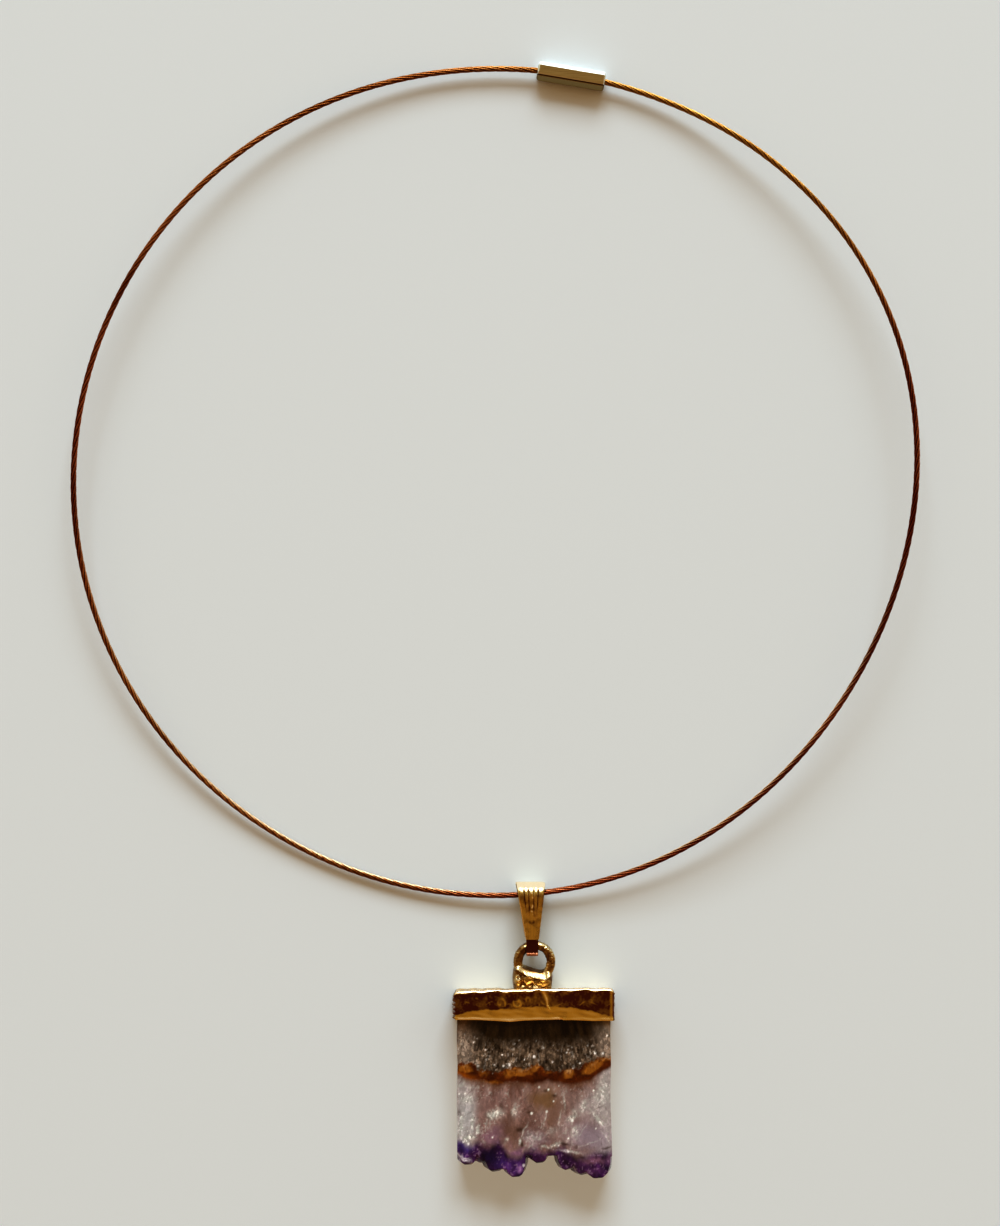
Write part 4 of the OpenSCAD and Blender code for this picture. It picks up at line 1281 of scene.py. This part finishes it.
# larger zones of one tone, the same way, with red, green and blue, in the quartz and in the violet tips
MILK_ZONES = [
    ((-11.9, -5.6, 3.8, 1.7, 88, 0.8), (0.5, 0.51, 0.54)),
    ((10.4, -3.4, 3.6, 2.6, 10, 0.75), (0.43, 0.4, 0.42)),
    ((9.6, -8.6, 3.9, 2.5, -8, 0.85), (0.42, 0.36, 0.44)),
    ((5.2, -6.4, 1.3, 2.4, -20, 0.5), (0.38, 0.3, 0.31)),
    ((-7.4, -3, 2.8, 2.2, 60, 0.6), (0.29, 0.185, 0.18)),
    ((1.8, -1.9, 2.3, 1.9, 0, 0.85), (0.24, 0.14, 0.065)),
    ((3.6, -5, 2.2, 1.3, 88, 0.7), (0.27, 0.165, 0.12)),
    ((-3.6, -7.7, 2.2, 1.5, 60, 0.7), (0.21, 0.12, 0.09)),
    ((-7.4, -8.2, 2.4, 1.5, 0, 0.85), (0.27, 0.16, 0.22)),
    ((0.6, -8.8, 2, 1.5, 0, 0.7), (0.36, 0.27, 0.33)), ((-3.1, -11, 1.7, 0.9, 0, 1), (0.27, 0.15, 0.24)),
    ((7.6, -1.6, 1.8, 1, 20, 0.6), (0.31, 0.225, 0.21)),
]
VIOLET_ZONES = [
    ((-12, -10.4, 1.3, 1, 0, 0.9), (0.11, 0.065, 0.32)),
    ((-7.8, -12, 1.7, 1.6, -40, 1), (0.014, 0.005, 0.045)),
    ((-5.9, -12.6, 1.1, 1.2, 0, 0.8), (0.045, 0.02, 0.14)),
    ((-8.4, -10.2, 1.2, 0.6, 10, 0.7), (0.2, 0.09, 0.17)),
    ((-3.7, -13.6, 1.9, 1.3, 10, 0.9), (0.15, 0.055, 0.29)),
    ((-2.5, -14, 0.6, 0.6, 0, 0.9), (0.45, 0.25, 0.52)),
    ((-3.6, -13, 0.5, 0.9, 10, 0.8), (0.035, 0.01, 0.08)),
    ((1, -11.9, 2.3, 0.7, 0, 0.8), (0.09, 0.02, 0.11)),
    ((1.4, -10.6, 1.8, 0.5, 0, 0.7), (0.26, 0.14, 0.22)),
    ((5.4, -12.8, 1.3, 0.8, -40, 0.9), (0.035, 0.01, 0.045)),
    ((7.9, -13.2, 1.5, 1.1, -30, 0.7), (0.08, 0.022, 0.1)),
    ((10.2, -12.4, 1.8, 0.7, 0, 0.75), (0.36, 0.19, 0.28)),
    ((12.2, -13.7, 0.8, 0.9, 0, 1), (0.025, 0.01, 0.05)),
    ((9.8, -14.4, 2, 0.7, 0, 0.7), (0.12, 0.04, 0.14)),
    ((12.9, -12.2, 0.5, 0.8, 0, 0.8), (0.25, 0.13, 0.25)),
    ((5, -10.8, 1, 0.5, -30, 0.8), (0.3, 0.16, 0.25)),
]
# painted glints: x, y, radius
PAINTED_GLINTS = [
    (0.05, 5.3, 0.24), (-4.25, 3.95, 0.25), (-5.2, 3.7, 0.2), (-9.55, 3.7, 0.17), (-8.2, 4.85, 0.12),
    (-10.3, 7.8, 0.15), (7.9, 4.2, 0.16), (10.5, 5.9, 0.22), (11.8, 5.85, 0.22), (1.65, 6.8, 0.14),
    (-3.3, 7.5, 0.14), (-2.5, 8.1, 0.12), (0.9, 0.1, 0.18), (2.5, -0.3, 0.18), (3.35, -2.3, 0.15),
    (2.2, -4.1, 0.2), (4.3, 0.3, 0.12), (10.2, -0.5, 0.17), (-10.8, -1.6, 0.13), (-11.8, -1, 0.14),
    (-0.4, -4.4, 0.22), (-7.1, -8.5, 0.12), (10.6, -7, 0.14), (-12.4, -5, 0.15), (-12.8, -1.1, 0.14),
    (-1.7, -13.3, 0.25), (6.6, -5.6, 0.22), (-2.35, -9.1, 0.2), (-9.7, -6.8, 0.2), (8.7, -3.4, 0.15),
    (5.9, -8.7, 0.14), (-6.8, 3.9, 0.14), (3.2, 4.4, 0.14), (-1.6, 4.8, 0.13), (5.6, 6, 0.13),
    (-5.4, 5.6, 0.14), (-11.2, -9.6, 0.2), (-12.1, -9.3, 0.18), (4.2, -9.9, 0.15), (12.5, 8.9, 0.13),
    (9.2, 7.2, 0.14),
]
stone_spots, _ = mesh_spots(stone)
sx, sy, sz = stone_spots.T


def edge_height(rows, rough, seed):
    """The height of a natural boundary at each point of the stone, from rows of x and y, made ragged."""
    ragged = cloud(np.stack([sx, 0 * sx, sz * 0.4], 1), 1.5, seed) - 0.5
    return np.interp(sx, *np.array(rows).T) + rough * 2 * ragged


def patches(rows, ragged):
    """How strongly soft patches cover the stone, from rows of middle, half sizes, turn and strength."""
    cover = np.zeros(len(sx))
    for x, y, half_l, half_w, turn, strength in rows:
        way = way_at(turn)
        dx, dy = sx - x + ragged * drift_x, sy - y + ragged * drift_y
        along = (dx * way.x + dy * way.y) / half_l
        over = (dy * way.x - dx * way.y) / half_w
        cover = np.maximum(cover, strength * np.exp(-(along ** 2 + over ** 2) ** 1.3))
    return cover


def harder(value, contrast):
    """Noise with its middle tones pulled apart."""
    return np.clip((value - 0.5) * contrast + 0.5, 0, 1)


def lay_zones(tones, zones, ragged):
    """Lays zones of one tone each over the tones of the stone's points."""
    for row, colour in zones:
        tones = mix_tone(tones, colour, patches([row], ragged))
    return tones


drift_x = 2 * cloud(stone_spots, 1.5, 201, 3) - 1
drift_y = 2 * cloud(stone_spots, 1.5, 219, 3) - 1
# the quartz's growth, which fans out a little downwards
fan = np.stack([sx * 12 / (12 + 0.28 * (8 - sy)), sy, sz * 0.6], 1)
streak = cloud(fan, (0.75, 3.4, 1.2), 21, 5)
fine = cloud(fan, (0.32, 0.9, 0.5), 33, 3)
sugar = harder(cloud(stone_spots, (0.42, 0.5, 0.45), 91, 2), 2.2)
patch = cloud(fan, (3.2, 4, 3), 5)
speck_gap, _, speck_own = grain_cells(fan, (0.42, 0.62, 0.5), 71)
# painted glints: single grains painted white, laid on the grains and on the milky quartz
speck = (speck_own > 0.92) * before(speck_gap, 0.4, 0.3) * past(sugar, 0.3, 0.4)
_, column_border, column_own = grain_cells(fan + 0.6 * (streak[:, None] - 0.5), (1.5, 3.6, 2), 83)
left = past(-sx, 8.4, 3.6)
right = past(sx, 9.2, 3.4)
whiten = patches(WHITE_PATCHES, 0.7)
clear = patches(CLEAR_PATCHES, 1.2)
fracture_shadows = patches(FRACTURE_SHADOWS, 0.5)
crisp = harder(cloud(stone_spots, (0.26, 0.34, 0.3), 57, 2), 3)
painted_glint = np.zeros(len(sx))
for x, y, radius in PAINTED_GLINTS:
    uneven = radius * (0.75 + 0.7 * (fine - 0.3))
    painted_glint = np.maximum(painted_glint, smooth_step(1.5 - np.hypot(sx - x, (sy - y) * 0.85) / uneven))

# smoky quartz under the cap, darkened further by painted shade from the cap, clearing downwards into grains
smoke_and_cap_shade = past(sy + 1.6 * (streak - 0.5) + 3.2 * (patch - 0.5) - 1.9 * right - 1.2 * left, 5.7, 3.6)
smoke = mix_tone((0.006, 0.002, 0.0008), (0.045, 0.024, 0.01), harder(streak, 2) * (0.6 + 0.5 * fine))
smoke = mix_tone(smoke, (0.2, 0.125, 0.08), left * (0.5 + 0.9 * (streak - 0.5)))
smoke = mix_tone(smoke, (0.3, 0.24, 0.19), right * (0.6 + 1.2 * (streak - 0.45)))
grains = mix_tone((0.017, 0.009, 0.005), (0.275, 0.205, 0.15), harder(fine, 2) * (0.3 + 1.2 * streak))
grains = mix_tone(grains, (0.62, 0.58, 0.54), 0.5 * past(crisp, 0.6, 0.4) * past(streak, 0.4, 0.25))
grains = mix_tone(grains, (0.01, 0.005, 0.002), 0.85 * before(sugar, 0.28, 0.2) * past(patch, 0.4, 0.2))
grains = mix_tone(grains, (0.4, 0.33, 0.28), (0.5 * (left + right) + 0.8 * whiten) * (0.3 + streak))
grains = mix_tone(grains, (0.95, 0.93, 0.9), np.maximum(0.8 * speck, painted_glint))
upper = mix_tone(grains, smoke, smoke_and_cap_shade)

# the rust band, deep red-brown with amber blobs on its upper side
rust_top, rust_low = edge_height(RUST_TOP, 0.35, 101), edge_height(RUST_LOW, 0.4, 113)
band_share = (sy - rust_low) / np.maximum(rust_top - rust_low, 0.3)
blob = cloud(stone_spots * (1, 1, 0.5), (1.5, 1.2, 1.5), 127)
amber = patches(AMBER_PATCHES, 0.9) * (0.7 + 0.8 * (blob - 0.3))
amber *= 1 - 0.8 * before(band_share, 0.5, 0.25) * past(sx, -6, 3)
rust = mix_tone((0.06, 0.01, 0.0015), (0.185, 0.042, 0.004), harder(blob, 2.4) * (0.35 + 0.8 * band_share))
rust = mix_tone(rust, (0.3, 0.085, 0.004), before(band_share, 0.45, 0.3) * left)
rust = mix_tone(rust, (0.36, 0.145, 0.022), past(amber, 0.15, 0.5) * (0.7 + 0.35 * crisp))
# painted highlights: pale spots in the strongest amber on the band's upper side
rust = mix_tone(rust, (0.62, 0.38, 0.18), 0.8 * past(amber, 0.5, 0.4) * past(band_share, 0.6, 0.3) * sugar)
rust = mix_tone(rust, (0.09, 0.02, 0.004), 0.7 * before(crisp, 0.3, 0.3) * past(band_share, 0.5, 0.3))

# milky quartz in columns, brownish in the middle and greyer and paler at the sides
milk = mix_tone((0.2, 0.112, 0.095), (0.38, 0.275, 0.265), harder(cloud(fan, (1.1, 3.8, 1.6), 27, 3), 1.7))
milk = mix_tone(milk, (0.49, 0.48, 0.5), 0.7 * (left + right))
milk = lay_zones(milk, MILK_ZONES, 1.4)
shine = 0.78 + 0.3 * harder(fine, 1.6) * (1 - 0.7 * clear)
shine += 0.22 * harder(streak, 1.6) + 0.14 * (column_own - 0.5)
milk = milk * shine[:, None]
milk_crisp = past(crisp, 0.72, 0.25) * past(streak, 0.5, 0.15) * (1 - 0.8 * clear)
milk = mix_tone(milk, (0.58, 0.57, 0.54), 0.5 * milk_crisp)
milk = mix_tone(milk, (0.1, 0.055, 0.045), 0.4 * before(column_border, 0.06, 0.05) * past(patch, 0.48, 0.1))
milk = mix_tone(milk, (0.05, 0.025, 0.015), fracture_shadows)
milk = mix_tone(milk, (0.87, 0.92, 0.88), whiten * (0.42 + 0.7 * crisp) * (0.72 + 0.33 * sugar))
milk = mix_tone(milk, (0.94, 0.97, 0.94), np.maximum(0.5 * speck * past(patch, 0.42, 0.16), painted_glint))
under_rust = past(sy, rust_low - 1.5, 1.5) * (1 - right)
milk = mix_tone(milk, (0.17, 0.08, 0.035), 0.6 * under_rust * (0.4 + streak))

# violet tips
violet_share = before(sy, edge_height(VIOLET_TOP, 0.35, 139) + 1, 1.9)
violet_cloud = cloud(stone_spots, (1.2, 1.5, 1.3), 151)
violet = mix_tone((0.02, 0.006, 0.045), (0.09, 0.024, 0.13), harder(violet_cloud, 2.4))
violet = lay_zones(violet, VIOLET_ZONES, 0.8)
violet = violet * (0.5 + 0.75 * harder(cloud(fan, (0.6, 1, 0.7), 163, 3), 1.8))[:, None]
violet = mix_tone(violet, (0.4, 0.26, 0.42), 0.5 * past(crisp, 0.75, 0.2) * past(violet_cloud, 0.5, 0.12))
violet = mix_tone(violet, (0.88, 0.85, 0.93), np.maximum(whiten * (0.5 + 0.6 * crisp), 0.8 * painted_glint))

# how strongly the painted facet glints brighten and darken each place, and the tones laid over one another
sparkle = 0.12 + 0.36 * whiten - 0.1 * clear
sparkle = sparkle + (0.15 - sparkle) * violet_share
sparkle = np.where(sy > rust_low, 0.15, sparkle)
sparkle = np.where(sy > rust_top, 0.48 - 0.33 * smoke_and_cap_shade, sparkle)
set_marks(stone, "sparkle", sparkle)
tone = mix_tone(milk, violet, violet_share)
tone = mix_tone(tone, rust, smooth_step((sy - rust_low) / 0.9 + 0.5))
tone = mix_tone(tone, upper, smooth_step((sy - rust_top) / 0.6 + 0.5 + 0.8 * (crisp - 0.5)))
tone = np.concatenate([np.clip(tone, 0, 1), np.ones((len(tone), 1))], 1)
tone_marks = stone.data.attributes.new("tone", "FLOAT_COLOR", "POINT")
tone_marks.data.foreach_set("color", tone.astype(np.float32).ravel())


def crystal_finish():
    """Polished quartz in the mesh's own tones, with painted glints: small facets whose tone is brightened
    and darkened facet by facet.
    """
    finish, tree, shader = add_finish("amethyst_slice")
    here = place(tree, "ShaderNodeTexCoord").outputs["Object"]
    long = place(tree, "ShaderNodeMapping", {"Vector": here, "Scale": (1, 0.6, 1)})
    bent = place(tree, "ShaderNodeTexNoise", {"Vector": here, "Scale": 2500.0, "Detail": 2.0})
    bend = vector_math(tree, "SCALE", bent.outputs["Color"], 0.6 * MM)
    facet_at = vector_math(tree, "ADD", long.outputs[0], bend)
    facets = place(tree, "ShaderNodeTexVoronoi", {"Vector": facet_at, "Scale": 3300.0})
    facet = place(tree, "ShaderNodeSeparateColor", {0: facets.outputs["Color"]}).outputs[0]
    swing = times(tree, node_math(tree, "SUBTRACT", node_math(tree, "POWER", facet, 2.2), 0.31), 2.6)
    gain = node_math(tree, "MULTIPLY_ADD", swing, read_mark(tree, "sparkle"), 1.0)
    tones = place(tree, "ShaderNodeAttribute", attribute_name="tone").outputs["Color"]
    flakes = place(tree, "ShaderNodeTexVoronoi", {"Vector": here, "Scale": 2600.0})
    bump = place(tree, "ShaderNodeBump", {
        "Strength": 0.25, "Distance": 0.06 * MM, "Height": flakes.outputs["Distance"],
    })
    feed(shader, {
        "Base Color": vector_math(tree, "SCALE", tones, gain), "Normal": bump.outputs[0],
        "Roughness": 0.24, "IOR": 1.55, "Specular IOR Level": 0.35,
        "Coat Weight": 0.12, "Coat Roughness": 0.05,
        "Subsurface Weight": 0.12, "Subsurface Scale": 0.6 * MM, "Subsurface Radius": (1.0, 0.7, 0.8),
    })
    return finish


stone.data.materials.append(crystal_finish())
stone.visible_diffuse = False
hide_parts("crystal_slice")
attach(stone, "root")

bpy.context.view_layer.update()
